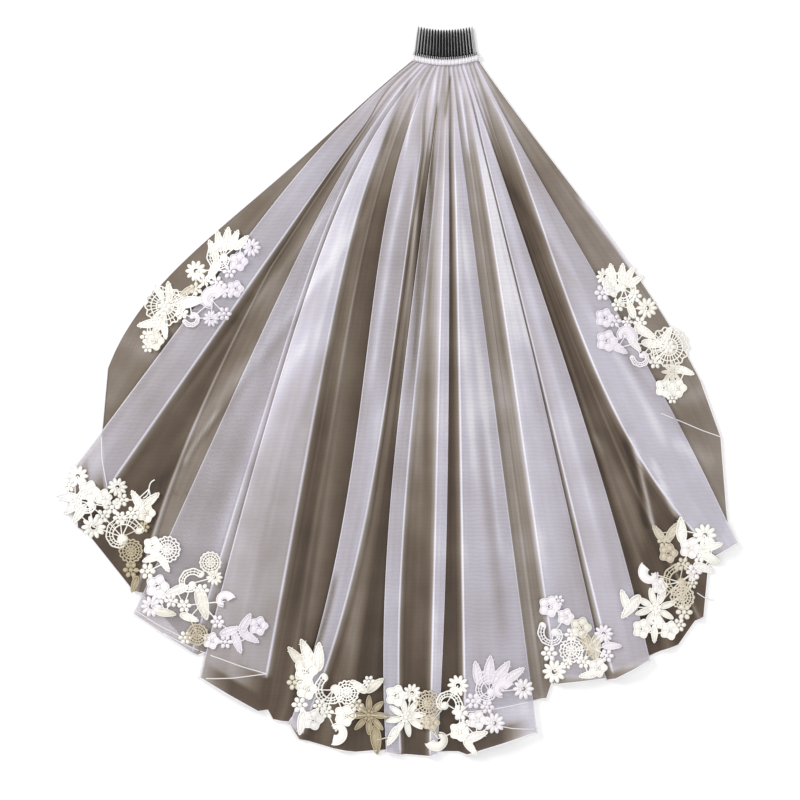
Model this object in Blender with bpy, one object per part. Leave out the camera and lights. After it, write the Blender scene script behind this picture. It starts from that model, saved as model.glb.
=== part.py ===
"""A single-tier bridal veil laid flat: tulle gathered on a hair comb, corded hem and lace motifs.

The frame is metres with +Z up. The cloth rests on z = 0, the comb points to +Y and X runs across.
Sizes below are millimetres until a mesh is made.
"""

import math
from collections import namedtuple

import bmesh
import bpy
import numpy as np
from mathutils import Vector
from mathutils.bvhtree import BVHTree
from mathutils.geometry import delaunay_2d_cdt

METRES = 0.001
SEAM_GAP = 0.3

# Tulle wall, and how its folds lie on each other.
WALL = 1.0
LAYER_PITCH = 1.7
FOLD_SLOPE = 0.6
GATHER_HEIGHT = 1.8
GATHER_SWELL = 2.6
GATHER_FROM = 0.02
GATHER_TO = 0.12
GATHER_SPREAD = 11.0
PLEAT_CLEARANCE = 2.6
RIDGE_CLEARANCE = 0.8
NECK_POWER = 7
ROWS_DOWN = (0.0, 0.03, 0.055, 0.085, 0.15, 0.25, 0.38, 0.54, 0.70, 0.86, 1.0)

# The gathered top edge, an arc that sags in the middle.
GATHER_CENTRE = (61.5, 421.0)
GATHER_HALF_WIDTH = 42.0
GATHER_SAG = 6.5

# Comb, binding and hem.
BINDING_DEPTH = 7.0
BINDING_HEIGHT = 6.0
SPINE_DEPTH = 3.0
COMB_THICK = 2.4
TOOTH_COUNT = 20
TOOTH_LENGTH = 35.0
TOOTH_WIDTH = 2.1
COMB_HALF_WIDTH = 40.0
TIP_HALF_WIDTH = 35.5
HEM_DEPTH = 2.0

# Lace. Bars of this width join its figures, and it bends over the cloth at points this far apart.
LACE_THICK = 1.5
LACE_BAR = 4.0
LACE_STEP = 18.0
RELIEF_STEP = 2.5

# A fold's edge runs from the gathers to the hem. Its straight part points back to "fan" on the
# gather line, it ends at (hem_x, hem_y), and "bow" is how far it bends to +X on the way. The bend
# is widest at late / (late + 1) of the way down.
Edge = namedtuple("Edge", "fan hem_x hem_y bow late", defaults=(2,))

# A knife pleat: its crest edge, the under edge its cloth turns back at, how much shorter the cloth
# beneath is at the crest (tuck), how much longer the cloth on top is at the under edge (drop), and
# the radius of its rolled edges at the hem.
Pleat = namedtuple("Pleat", "name crest under tuck drop roll")

# A soft ridge: its crest edge, half width and height at the hem.
Ridge = namedtuple("Ridge", "name crest half_width height")

# One figure of a lace motif: its place, its radius or half length, and which way its tip points.
Motif = namedtuple("Motif", "kind x y size turn")

# Both tables go from a side edge to the middle of the veil.
LEFT_BORDER = (Edge(2, -367, 30, -24, 3),)
LEFT_FOLDS = (
    Pleat("outer", Edge(-23, -410, -97, 0), Edge(11, -367, -122, 0), 60, 62, 2.2),
    Ridge("strip", Edge(-32, -328, -254, -20), 9, 5.0),
    Pleat("inner", Edge(-15, -334, -281, 0), Edge(-33, -259, -326, 0), 28, 4, 1.8),
    Pleat("broad", Edge(-31, -250, -363, -6), Edge(-24, -165, -357, 0), 34, 48, 2.4),
    Ridge("hollow", Edge(-9, -143, -418, 0), 10, 3.5),
    Pleat("slant", Edge(6, -137, -422, 27), Edge(50, -119, -427, 25), 10, 14, 2.0),
    Ridge("bottom", Edge(50, -66, -455, 5), 14, 4.5),
    Pleat("slim", Edge(51, -14, -457, -18), Edge(62, 4, -457, -15), 3, 3, 1.4),
)
RIGHT_BORDER = (Edge(103, 385, 15, 10), Edge(105, 411, -57, 8))
RIGHT_FOLDS = (
    Pleat("wing", Edge(95, 431, -192, 9), Edge(103, 402, -204, -36), 28, 4, 1.8),
    Ridge("crisp", Edge(80, 384, -288, -10), 8, 5.0),
    Ridge("soft", Edge(85, 346, -325, 0), 12, 4.0),
    Pleat("panel", Edge(88, 321, -340, 9), Edge(84, 272, -351, 0), 5, 13, 2.4),
    Pleat("leaf", Edge(88, 265, -363, 0), Edge(91, 202, -358, 0), 3, 12, 1.6),
    Ridge("rib", Edge(78, 186, -389, 0), 4, 3.0),
    Pleat("wide", Edge(67, 178, -432, 0), Edge(73, 86, -406, 0), 41, 53, 2.2),
    Pleat("stem", Edge(70, 51, -459, 6), Edge(63, 42, -459, 0), 3, 3, 1.4),
)

# The seven lace motifs.
UPPER_LEFT = (
    Motif("leaf", -222, 196, 11.5, 100),
    Motif("leaf", -210, 193, 10, 80),
    Motif("leaf", -196, 189, 10, 50),
    Motif("paisley", -222, 173, 16.5, 250),
    Motif("flower", -255, 154, 11.5, 0),
    Motif("flower", -295, 109, 21.5, 10),
    Motif("leaf", -291, 135, 11.5, 90),
    Motif("leaf", -264, 114, 15, 15),
    Motif("scroll", -231, 117, 15, 0),
    Motif("flower", -206, 127, 10, 20),
    Motif("flower", -215, 98, 10, 0),
    Motif("flower", -199, 166, 10, 30),
    Motif("flower", -183, 184, 9, 0),
    Motif("scroll", -257, 93, 11.5, 0),
    Motif("leaf", -316, 85, 11.5, 200),
    Motif("flower", -310, 66, 11.5, 0),
    Motif("flower", -293, 72, 9, 20),
    Motif("flower", -257, 135, 7.5, 0),
)
UPPER_RIGHT = (
    Motif("flower", 260, 152, 10, 0),
    Motif("leaf", 273, 157, 10, 95),
    Motif("leaf", 283, 157, 10, 70),
    Motif("leaf", 292, 151, 9, 35),
    Motif("paisley", 286, 133, 16.5, 280),
    Motif("flower", 319, 109, 11.5, 0),
    Motif("leaf", 282, 104, 12.5, 200),
    Motif("paisley", 305, 75, 14, 230),
    Motif("flower", 349, 57, 20.5, 15),
    Motif("leaf", 364, 28, 12.5, 300),
    Motif("flower", 349, 8, 11.5, 0),
    Motif("flower", 258, 93, 9, 0),
    Motif("flower", 264, 66, 10, 20),
    Motif("scroll", 315, 42, 12.5, 0),
    Motif("flower", 328, 17, 9, 0),
)
LOWER_LEFT = (
    Motif("flower", -406, -108, 11.5, 0),
    Motif("flower", -354, -121, 10, 20),
    Motif("leaf", -328, -136, 14, 150),
    Motif("leaf", -312, -127, 10, 80),
    Motif("paisley", -390, -137, 15, 60),
    Motif("flower", -413, -127, 10, 30),
    Motif("flower", -370, -138, 10, 0),
    Motif("flower", -387, -171, 11.5, 0),
    Motif("flower", -323, -152, 10, 0),
    Motif("scroll", -348, -183, 21.5, 0),
    Motif("flower", -337, -206, 11.5, 20),
    Motif("leaf", -422, -138, 10, 190),
    Motif("leaf", -414, -154, 10, 230),
    Motif("leaf", -400, -156, 9, 250),
    Motif("flower", -314, -193, 10, 0),
    Motif("flower", -297, -204, 11.5, 20),
    Motif("leaf", -284, -218, 10, 320),
    Motif("flower", -333, -229, 10, 0),
    Motif("flower", -367, -208, 9, 0),
)
INNER_LEFT = (
    Motif("flower", -236, -213, 11.5, 0),
    Motif("flower", -226, -235, 10, 20),
    Motif("flower", -314, -271, 15, 0),
    Motif("leaf", -290, -262, 12.5, 160),
    Motif("flower", -276, -278, 10, 0),
    Motif("paisley", -255, -254, 20.5, 240),
    Motif("scroll", -218, -264, 12.5, 0),
    Motif("flower", -254, -291, 7.5, 0),
    Motif("leaf", -199, -292, 14, 330),
    Motif("leaf", -183, -306, 12.5, 300),
    Motif("leaf", -203, -315, 11.5, 250),
    Motif("flower", -177, -325, 9, 0),
)
BOTTOM = (
    Motif("leaf", -130, -334, 11.5, 130),
    Motif("leaf", -116, -329, 11.5, 100),
    Motif("leaf", -102, -335, 11.5, 70),
    Motif("flower", -123, -372, 11.5, 0),
    Motif("flower", -113, -404, 11.5, 20),
    Motif("scroll", -91, -375, 20.5, 0),
    Motif("flower", -66, -376, 11.5, 0),
    Motif("leaf", -44, -353, 12.5, 60),
    Motif("leaf", -34, -367, 11.5, 20),
    Motif("flower", -34, -404, 21.5, 0),
    Motif("paisley", -76, -429, 15, 200),
    Motif("leaf", -57, -444, 10, 20),
    Motif("flower", -3, -371, 12.5, 0),
    Motif("flower", 10, -409, 19, 15),
    Motif("flower", -15, -438, 10, 0),
    Motif("flower", 38, -381, 11.5, 0),
    Motif("paisley", 58, -395, 15, 90),
    Motif("paisley", 51, -436, 14, 330),
    Motif("leaf", 25, -439, 11.5, 300),
    Motif("flower", 76, -366, 11.5, 0),
    Motif("flower", 93, -418, 10, 0),
    Motif("leaf", 94, -443, 10, 300),
    Motif("scroll", 112, -359, 20.5, 0),
    Motif("leaf", 127, -334, 10, 70),
    Motif("flower", 127, -419, 11.5, 20),
    Motif("flower", 152, -368, 11.5, 0),
)
INNER_RIGHT = (
    Motif("flower", 192, -276, 11.5, 0),
    Motif("flower", 220, -272, 9, 20),
    Motif("paisley", 194, -310, 12.5, 90),
    Motif("flower", 202, -353, 10, 0),
    Motif("leaf", 226, -329, 11.5, 240),
    Motif("flower", 232, -296, 10, 0),
    Motif("scroll", 250, -312, 12.5, 0),
    Motif("leaf", 260, -284, 10, 60),
)
LOWER_RIGHT = (
    Motif("leaf", 333, -189, 11.5, 120),
    Motif("leaf", 345, -184, 11.5, 85),
    Motif("leaf", 361, -175, 12.5, 90),
    Motif("flower", 391, -182, 11.5, 0),
    Motif("leaf", 396, -201, 10, 30),
    Motif("paisley", 378, -208, 14, 200),
    Motif("leaf", 392, -230, 11.5, 340),
    Motif("flower", 343, -212, 11.5, 0),
    Motif("paisley", 319, -226, 14, 260),
    Motif("scroll", 357, -236, 15, 0),
    Motif("flower", 328, -273, 20.5, 0),
    Motif("paisley", 296, -269, 12.5, 220),
    Motif("flower", 364, -260, 11.5, 20),
    Motif("flower", 315, -302, 10, 0),
    Motif("flower", 339, -302, 10, 20),
    Motif("flower", 357, -286, 9, 0),
)
LACE = {
    "lace_upper_left": UPPER_LEFT,
    "lace_upper_right": UPPER_RIGHT,
    "lace_lower_left": LOWER_LEFT,
    "lace_inner_left": INNER_LEFT,
    "lace_bottom": BOTTOM,
    "lace_inner_right": INNER_RIGHT,
    "lace_lower_right": LOWER_RIGHT,
}


def clear_scene():
    for obj in list(bpy.data.objects):
        bpy.data.objects.remove(obj, do_unlink=True)


def material(name, colour, roughness, metallic=0.0):
    made = bpy.data.materials.new(name)
    made.use_nodes = True
    shader = made.node_tree.nodes["Principled BSDF"]
    shader.inputs["Base Color"].default_value = (*colour, 1.0)
    shader.inputs["Roughness"].default_value = roughness
    shader.inputs["Metallic"].default_value = metallic
    return made


def add_mesh(name, points, faces, finish):
    """One object from points in millimetres."""
    mesh = bpy.data.meshes.new(name)
    mesh.from_pydata([tuple(np.asarray(p, float) * METRES) for p in points], [], faces)
    mesh.update()
    obj = bpy.data.objects.new(name, mesh)
    bpy.context.scene.collection.objects.link(obj)
    mesh.materials.append(finish)
    return obj


def face_outwards(obj):
    shape = bmesh.new()
    shape.from_mesh(obj.data)
    bmesh.ops.recalc_face_normals(shape, faces=shape.faces)
    shape.to_mesh(obj.data)
    shape.free()


def gather_point(across, forward=0.0):
    """A point of the gathered edge, across from -1 to 1, moved forward towards the comb."""
    x = GATHER_CENTRE[0] + across * GATHER_HALF_WIDTH
    y = GATHER_CENTRE[1] - GATHER_SAG * (1.0 - across * across) + forward
    return np.array([x, y])


def edge_point(edge, across, down):
    """A straight run from the fan line to the hem, pulled in to the gathers, plus its bow."""
    start = np.array([edge.fan, GATHER_CENTRE[1]])
    end = np.array([edge.hem_x, edge.hem_y])
    run = end - start
    side = np.array([-run[1], run[0]]) / np.linalg.norm(run)
    neck = (gather_point(across) - start) * max(0.0, 1.0 - down) ** NECK_POWER
    peak = (edge.late + 1.0) ** (edge.late + 1.0) / edge.late**edge.late
    bow = side * edge.bow * peak * down**edge.late * max(0.0, 1.0 - down)
    return start + run * down + neck + bow


def edge_length(edge):
    return math.hypot(edge.hem_x - edge.fan, edge.hem_y - GATHER_CENTRE[1])


def smooth(value):
    value = min(1.0, max(0.0, value))
    return value * value * (3.0 - 2.0 * value)


def inward(edge, across, down, towards):
    """The unit step across a fold, at right angles to its edge, towards the middle."""
    step = 0.01
    run = edge_point(edge, across, down + step) - edge_point(edge, across, down - step)
    side = np.array([-run[1], run[0]]) / np.linalg.norm(run)
    return side * towards


def pleat_section(pleat, across, down, towards, start, reach, shift):
    """Points (x, y, z) of one pleat from its outer to its inner side, and where its cloth goes on.

    start gives the height of the cloth that comes in, at a distance inside the crest. reach is the
    room from this crest to the next one, and shift moves the crest clear of the fold before it.
    """
    crest = edge_point(pleat.crest, across, down) + shift
    under = edge_point(pleat.under, across, down)
    tucked = down * (1.0 - pleat.tuck / edge_length(pleat.crest))
    beneath = edge_point(pleat.crest, across, tucked) + shift
    above = edge_point(pleat.under, across, down * (1.0 + pleat.drop / edge_length(pleat.under)))
    roll = 0.85 + (pleat.roll - 0.85) * smooth(down * 1.6)
    across_fold = inward(pleat.crest, across, down, towards)
    width = float(np.dot(under - crest, across_fold))
    least = 2.0 * roll + 1.2
    if width < least:
        under = under + across_fold * (least - width)
        above = above + across_fold * (least - width)
        width = least
    step = under - crest
    step = step / np.linalg.norm(step)
    here = start(0.0)
    there = start(width)
    points = [(*beneath, here)]
    for angle in (-90, -30, 30, 90):
        out = roll * math.cos(math.radians(angle)) - roll
        rise = roll + roll * math.sin(math.radians(angle))
        points.append((*(under + step * out), there + rise))
    arch = 1.6 * roll * smooth(down * 3.0) * min(1.0, width / 40.0)
    level_one = (here + LAYER_PITCH, there + 2.0 * roll)
    middle = crest + (under - crest) * 0.5
    points.append((*middle, sum(level_one) / 2.0 + arch * 0.6))
    for angle in (-90, -30, 30, 90):
        out = roll - roll * math.cos(math.radians(angle))
        rise = LAYER_PITCH + roll + roll * math.sin(math.radians(angle))
        points.append((*(crest + step * out), here + rise))
    outer = roll + LAYER_PITCH
    lean = math.atan(FOLD_SLOPE)
    top = there + roll + outer
    middle = crest + (above - crest) * 0.5
    level_two = (here + LAYER_PITCH + 2.0 * roll + top) / 2.0
    points.append((*middle, level_two + arch))
    points.append((*(above - step * roll), top))
    shoulder = outer * math.sin(lean) - roll
    shoulder_height = there + roll + outer * math.cos(lean)
    points.append((*(above + step * shoulder), shoulder_height))
    foot = shoulder + shoulder_height / FOLD_SLOPE
    room = max(shoulder + 0.8, reach - width - 1.0)
    foot_at = min(foot, room)
    foot_height = max(0.0, shoulder_height - FOLD_SLOPE * (foot_at - shoulder))
    points.append((*(above + step * foot_at), foot_height))

    def carry_on(distance):
        """Height of the cloth at this distance inside the under edge."""
        return min(top, max(0.0, shoulder_height - FOLD_SLOPE * max(0.0, distance - shoulder)))

    return points, under, carry_on


def half_width_at(ridge, down):
    return ridge.half_width * (0.12 + 0.88 * down**1.5)


def ridge_section(ridge, across, down, towards, start, room):
    """A ridge between the fold before it and the next one, which are room apart."""
    crest = edge_point(ridge.crest, across, down)
    step = inward(ridge.crest, across, down, towards)
    half = max(1.2, min(half_width_at(ridge, down), 0.4 * (room[1] - room[0])))
    place = min(max(0.0, room[0] + half), max(room[1] - half, room[0] + half))
    crest = crest + step * place
    height = min(ridge.height * smooth(down * 2.5 + 0.2), 0.7 * half)
    points = []
    for share, rise in ((-1.0, 0.0), (-0.45, 0.6), (0.0, 1.0), (0.45, 0.6), (1.0, 0.0)):
        base = start(place + half * share)
        points.append((*(crest + step * half * share), base + height * rise))

    def carry_on(distance):
        return start(place + half + distance)

    return points, crest + step * half, carry_on


PLEAT_WAVE = (0.0, 0.04, 0.14, 0.29, 0.47, 0.65, 0.81, 0.93, 0.99, 1.0, 0.9, 0.62, 0.27, 0.04)
RIDGE_WAVE = (0.0, 0.5, 1.0, 0.5, 0.0)
WAVE_SKEW = 0.1


def gather_section(waves, across, half_pitch, towards, down, fall):
    """The same points where they are gathered: one small wave that falls this far to its hem."""
    last = len(waves) - 1
    points = []
    for index, rise in enumerate(waves):
        along = index / last
        share = 1.8 * (along - WAVE_SKEW * math.sin(math.pi * along)) - 0.9
        place = gather_point(across + towards * half_pitch * share, -down * fall)
        spread = 1.0 + down * GATHER_SPREAD
        place[0] = GATHER_CENTRE[0] + (place[0] - GATHER_CENTRE[0]) * spread
        height = GATHER_HEIGHT + GATHER_SWELL * smooth(down / GATHER_FROM)
        points.append((*place, height * rise))
    return points


def level(distance):
    """The height of cloth that lies on the surface."""
    return 0.0


def half_row(border, folds, acrosses, half_pitch, towards, down, middle):
    """One line of points from a side edge to the middle of the veil."""
    open_share = smooth((down - GATHER_FROM) / (GATHER_TO - GATHER_FROM))
    row = []
    for index, edge in enumerate(border):
        last_inner = edge_point(edge, -towards * (1.0 - 0.012 * index), down)
        row.append((*last_inner, 0.0))
    height_at = level
    clear = 1.5
    for index, fold in enumerate(folds):
        across = acrosses[index]
        here = edge_point(fold.crest, across, down)
        step = inward(fold.crest, across, down, towards)
        gap = float(np.dot(here - last_inner, step))
        if index + 1 < len(folds):
            following = edge_point(folds[index + 1].crest, acrosses[index + 1], down)
        else:
            following = middle
        reach = float(np.dot(following - here, step))
        if index + 1 < len(folds) and isinstance(folds[index + 1], Ridge):
            reach -= half_width_at(folds[index + 1], down)
        if isinstance(fold, Pleat):
            push = max(0.0, clear - gap)
            start = carried(height_at, gap + push)
            made, last_inner, height_at = pleat_section(
                fold, across, down, towards, start, reach - push, step * push
            )
            waves = PLEAT_WAVE
            clear = PLEAT_CLEARANCE
        else:
            start = carried(height_at, gap)
            room = (clear - gap, reach - 1.0)
            made, last_inner, height_at = ridge_section(fold, across, down, towards, start, room)
            waves = RIDGE_WAVE
            clear = RIDGE_CLEARANCE
        if open_share < 1.0:
            fall = GATHER_CENTRE[1] - fold.crest.hem_y
            gathered = gather_section(waves, across, half_pitch, towards, down, fall)
            made = [
                tuple(np.array(g) * (1.0 - open_share) + np.array(m) * open_share)
                for g, m in zip(gathered, made)
            ]
        row.extend(made)
    return row


def carried(height_at, gap):
    """The height of the cloth that comes in, measured from a crest that lies gap further in."""
    def height_from_crest(distance):
        return height_at(gap + distance)

    return height_from_crest


def section_points():
    """The tulle's middle surface, one row of points for each share of the way down."""
    count = len(LEFT_FOLDS) + len(RIGHT_FOLDS)
    pitch = 2.0 / (count + 0.6)
    left = [-1.0 + pitch * (index + 0.8) for index in range(len(LEFT_FOLDS))]
    right = [1.0 - pitch * (index + 0.8) for index in range(len(RIGHT_FOLDS))]
    rows = []
    for down in ROWS_DOWN:
        last_left = edge_point(LEFT_FOLDS[-1].under, left[-1], down)
        last_right = edge_point(RIGHT_FOLDS[-1].under, right[-1], down)
        middle = (last_left + last_right) / 2.0
        from_left = half_row(LEFT_BORDER, LEFT_FOLDS, left, pitch / 2.0, 1.0, down, middle)
        from_right = half_row(RIGHT_BORDER, RIGHT_FOLDS, right, pitch / 2.0, -1.0, down, middle)
        rows.append(from_left + from_right[::-1])
    return np.array(rows)


def surface_normals(grid):
    """Unit normals of a grid of points, from the steps across and down."""
    across = np.gradient(grid, axis=1)
    down = np.gradient(grid, axis=0)
    normal = np.cross(down, across)
    return normal / np.linalg.norm(normal, axis=2, keepdims=True)


def wall_from_grid(name, grid, normals, thick, finish):
    """A closed wall: the grid moved out both ways, joined round its border."""
    rows, columns = grid.shape[:2]
    lift = np.array([0.0, 0.0, thick / 2.0])
    upper = grid + normals * thick / 2.0 + lift
    lower = grid - normals * thick / 2.0 + lift
    upper[..., 2] = np.maximum(upper[..., 2], 0.0)
    lower[..., 2] = np.maximum(lower[..., 2], 0.0)
    points = np.concatenate([upper.reshape(-1, 3), lower.reshape(-1, 3)])
    offset = rows * columns
    faces = []
    for r in range(rows - 1):
        for c in range(columns - 1):
            a = r * columns + c
            b = a + 1
            d = a + columns
            e = d + 1
            for one, two, three in ((a, d, b), (b, d, e)):
                faces.append((one, two, three))
                faces.append((one + offset, three + offset, two + offset))
    border = [(0, c) for c in range(columns)]
    border += [(r, columns - 1) for r in range(1, rows)]
    border += [(rows - 1, c) for c in range(columns - 2, -1, -1)]
    border += [(r, 0) for r in range(rows - 2, 0, -1)]
    loop = [r * columns + c for r, c in border]
    for a, b in zip(loop, loop[1:] + loop[:1]):
        faces.append((a, b, b + offset, a + offset))
    obj = add_mesh(name, points, faces, finish)
    face_outwards(obj)
    return obj


def make_tulle(finish):
    grid = section_points()
    normals = surface_normals(grid)
    tulle = wall_from_grid("tulle", grid, normals, WALL, finish)
    return tulle, grid, normals


def hem_outward(grid, normals):
    """Unit steps out of the tulle's last row, in its own surface and at right angles to its edge."""
    steps = np.diff(grid[-1], axis=0)
    steps = steps / np.linalg.norm(steps, axis=1, keepdims=True)
    along_edge = np.concatenate([steps[:1], steps[:-1] + steps[1:], steps[-1:]])
    outward = np.cross(normals[-1], along_edge)
    outward = outward / np.linalg.norm(outward, axis=1, keepdims=True)
    down = grid[-1] - grid[-2]
    return outward * np.sign(np.sum(outward * down, axis=1, keepdims=True))


def make_hem(grid, normals, finish):
    """The corded edge carries the tulle's own section on past the seam."""
    outward = hem_outward(grid, normals)
    near = grid[-1] + outward * SEAM_GAP * 1.3
    far = grid[-1] + outward * (SEAM_GAP + HEM_DEPTH)
    both = np.array([normals[-1], normals[-1]])
    return wall_from_grid("hem_cord", np.array([near, far]), both, WALL, finish)


def make_binding(finish):
    """A rounded band along the gathered edge."""
    stations = 15
    half = BINDING_DEPTH / 2.0
    middle = SEAM_GAP + half
    section = [
        (half * math.cos(a), BINDING_HEIGHT / 2.0 * (1.0 + 0.94 * math.sin(a)))
        for a in (math.radians(22.5 + 45.0 * k) for k in range(8))
    ]
    points = []
    for k in range(stations):
        across = -1.03 + 2.06 * k / (stations - 1)
        for out, height in section:
            points.append((*gather_point(across, middle + out), height))
    faces = []
    for k in range(stations - 1):
        for j in range(8):
            a = k * 8 + j
            b = k * 8 + (j + 1) % 8
            faces.append((a, b, b + 8, a + 8))
    faces.append(tuple(range(7, -1, -1)))
    faces.append(tuple(range((stations - 1) * 8, stations * 8)))
    obj = add_mesh("binding", points, faces, finish)
    face_outwards(obj)
    return obj


def make_comb(finish):
    """One outline of spine and teeth, made solid. The teeth draw together towards their tips."""
    base = SEAM_GAP * 2.0 + BINDING_DEPTH
    root = base + SPINE_DEPTH
    outline = []
    spine = COMB_HALF_WIDTH / GATHER_HALF_WIDTH
    for k in range(13):
        outline.append(gather_point(-spine + 2.0 * spine * k / 12, base))
    for k in range(TOOTH_COUNT - 1, -1, -1):
        share = (k + 0.5) / TOOTH_COUNT * 2.0 - 1.0
        low = gather_point(share * spine, root)
        high = gather_point(share * TIP_HALF_WIDTH / GATHER_HALF_WIDTH, root + TOOTH_LENGTH)
        half = np.array([TOOTH_WIDTH / 2.0, 0.0])
        outline.append(low + half)
        outline.append(high + half * 0.8 - np.array([0.0, 2.0]))
        outline.append(high)
        outline.append(high - half * 0.8 - np.array([0.0, 2.0]))
        outline.append(low - half)
    count = len(outline)
    points = [(*p, 0.6) for p in outline] + [(*p, 0.6 + COMB_THICK) for p in outline]
    faces = [tuple(range(count - 1, -1, -1)), tuple(range(count, 2 * count))]
    for a in range(count):
        b = (a + 1) % count
        faces.append((a, b, b + count, a + count))
    obj = add_mesh("comb", points, faces, finish)
    face_outwards(obj)
    return obj


def ring(x, y, size, count, wave=0.0, lobes=0, turn=0.0):
    """A circle of count points whose radius swells and shrinks by wave, lobes times round."""
    points = []
    for k in range(count):
        angle = 2.0 * math.pi * k / count
        radius = size * (1.0 + wave * math.cos(lobes * angle))
        points.append((x + radius * math.cos(angle + turn), y + radius * math.sin(angle + turn)))
    return points


def drop_shape(motif, count, width, sharp):
    """A leaf or paisley: sine width along its length, fuller towards one end."""
    turn = math.radians(motif.turn)
    points = []
    for k in range(count):
        angle = 2.0 * math.pi * k / count
        along = motif.size * math.cos(angle)
        side = motif.size * width * math.sin(angle) * (1.0 - sharp * math.cos(angle))
        x = motif.x + along * math.cos(turn) - side * math.sin(turn)
        y = motif.y + along * math.sin(turn) + side * math.cos(turn)
        points.append((x, y))
    return points


def bar(start, end):
    """A straight bar of lace between two places."""
    run = np.array(end) - np.array(start)
    side = np.array([-run[1], run[0]]) / np.linalg.norm(run) * LACE_BAR / 2.0
    corners = (start - side, end - side, end + side, start + side)
    return [tuple(corner) for corner in corners]


def join_bars(motifs):
    """Bars that tie each figure to its nearest neighbour, until all hang together."""
    places = [np.array([m.x, m.y], float) for m in motifs]
    tied = [0]
    bars = []
    while len(tied) < len(places):
        pairs = [(np.linalg.norm(places[a] - places[b]), a, b)
                 for a in tied for b in range(len(places)) if b not in tied]
        distance, a, b = min(pairs)
        bars.append(bar(places[a], places[b]))
        tied.append(b)
    return bars


def figures(motifs):
    """The outlines that lace fills, and the round eyes that are cut out of its scrolls."""
    solids = join_bars(motifs)
    eyes = []
    for motif in motifs:
        if motif.kind == "flower":
            solids.append(ring(motif.x, motif.y, motif.size, 10, 0.1, 5, math.radians(motif.turn)))
        elif motif.kind == "leaf":
            solids.append(drop_shape(motif, 6, 0.42, 0.2))
        elif motif.kind == "paisley":
            solids.append(drop_shape(motif, 8, 0.6, 0.5))
        else:
            solids.append(ring(motif.x, motif.y, motif.size, 10))
            eyes.append(ring(motif.x, motif.y, motif.size * 0.42, 6))
    return solids, eyes


def inside(point, outline):
    """Whether a point lies in an outline, by the edges that a line to its right crosses."""
    x, y = point
    crossings = 0
    for (ax, ay), (bx, by) in zip(outline, outline[1:] + outline[:1]):
        if (ay > y) != (by > y) and x < ax + (y - ay) / (by - ay) * (bx - ax):
            crossings += 1
    return crossings % 2 == 1


def filled(point, solids, eyes):
    return any(inside(point, s) for s in solids) and not any(inside(point, e) for e in eyes)


def triangles_between(points, edges, solids, eyes):
    """Triangles on these points and edges that lie in the lace, anticlockwise."""
    made = delaunay_2d_cdt([Vector(p) for p in points], edges, [], 0, 0.02)
    places = [tuple(v) for v in made[0]]
    kept = []
    for face in made[2]:
        middle = np.mean([places[i] for i in face], axis=0)
        if filled(middle, solids, eyes):
            kept.append(tuple(face))
    return places, kept


def border_edges(faces):
    """Directed edges that belong to one face only."""
    directed = {(a, b) for face in faces for a, b in zip(face, face[1:] + face[:1])}
    return [(a, b) for a, b in directed if (b, a) not in directed]


def lace_sheet(motifs):
    """The lace's flat pattern: its whole outline first, then triangles with points inside it."""
    solids, eyes = figures(motifs)
    points = []
    edges = []
    for outline in solids + eyes:
        first = len(points)
        points.extend(outline)
        count = len(outline)
        edges.extend((first + k, first + (k + 1) % count) for k in range(count))
    places, faces = triangles_between(points, edges, solids, eyes)
    border = border_edges(faces)
    used = sorted({i for edge in border for i in edge})
    number = {old: new for new, old in enumerate(used)}
    points = [places[i] for i in used]
    edges = [(number[a], number[b]) for a, b in border]
    low = np.min(points, axis=0)
    high = np.max(points, axis=0)
    for x in np.arange(low[0] + LACE_STEP / 2.0, high[0], LACE_STEP):
        for y in np.arange(low[1] + LACE_STEP / 2.0, high[1], LACE_STEP):
            near = min(math.hypot(x - p[0], y - p[1]) for p in points)
            if near > LACE_STEP / 4.0 and filled((x, y), solids, eyes):
                points.append((x, y))
    return triangles_between(points, edges, solids, eyes)


def cloth_relief(cloths, low, high):
    """Heights of the cloth's upper side on an even grid, each the highest within one lace step."""
    xs = np.arange(low[0], high[0], RELIEF_STEP)
    ys = np.arange(low[1], high[1], RELIEF_STEP)
    heights = np.zeros((len(xs), len(ys)))
    for cloth in cloths:
        tree = BVHTree.FromPolygons(
            [v.co for v in cloth.data.vertices], [tuple(p.vertices) for p in cloth.data.polygons]
        )
        for i, x in enumerate(xs):
            for j, y in enumerate(ys):
                hit = tree.ray_cast(Vector((x * METRES, y * METRES, 0.1)), Vector((0.0, 0.0, -1.0)))
                if hit[0] is not None:
                    heights[i, j] = max(heights[i, j], hit[0].z / METRES)
    reach = int(math.ceil(LACE_STEP / RELIEF_STEP))
    padded = np.pad(heights, reach)
    raised = np.zeros_like(heights)
    for i in range(-reach, reach + 1):
        for j in range(-reach, reach + 1):
            if math.hypot(i, j) <= reach + 0.5:
                part = padded[reach + i:reach + i + len(xs), reach + j:reach + j + len(ys)]
                raised = np.maximum(raised, part)
    return xs, ys, raised


def make_lace(name, motifs, cloths, finish):
    """A plate of lace laid over the cloth, clear of it by the seam gap."""
    places, faces = lace_sheet(motifs)
    low = np.min(places, axis=0) - LACE_STEP
    high = np.max(places, axis=0) + LACE_STEP
    xs, ys, raised = cloth_relief(cloths, low, high)
    count = len(places)
    bottom = []
    for x, y in places:
        i = int(round((x - xs[0]) / RELIEF_STEP))
        j = int(round((y - ys[0]) / RELIEF_STEP))
        bottom.append((x, y, raised[i, j] + SEAM_GAP))
    points = bottom + [(x, y, z + LACE_THICK) for x, y, z in bottom]
    solid = [tuple(i + count for i in face) for face in faces]
    solid += [face[::-1] for face in faces]
    solid += [(a, b, b + count, a + count) for a, b in border_edges(faces)]
    used = sorted({i for face in solid for i in face})
    number = {old: new for new, old in enumerate(used)}
    obj = add_mesh(name, [points[i] for i in used], [[number[i] for i in f] for f in solid], finish)
    face_outwards(obj)
    return obj


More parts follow.
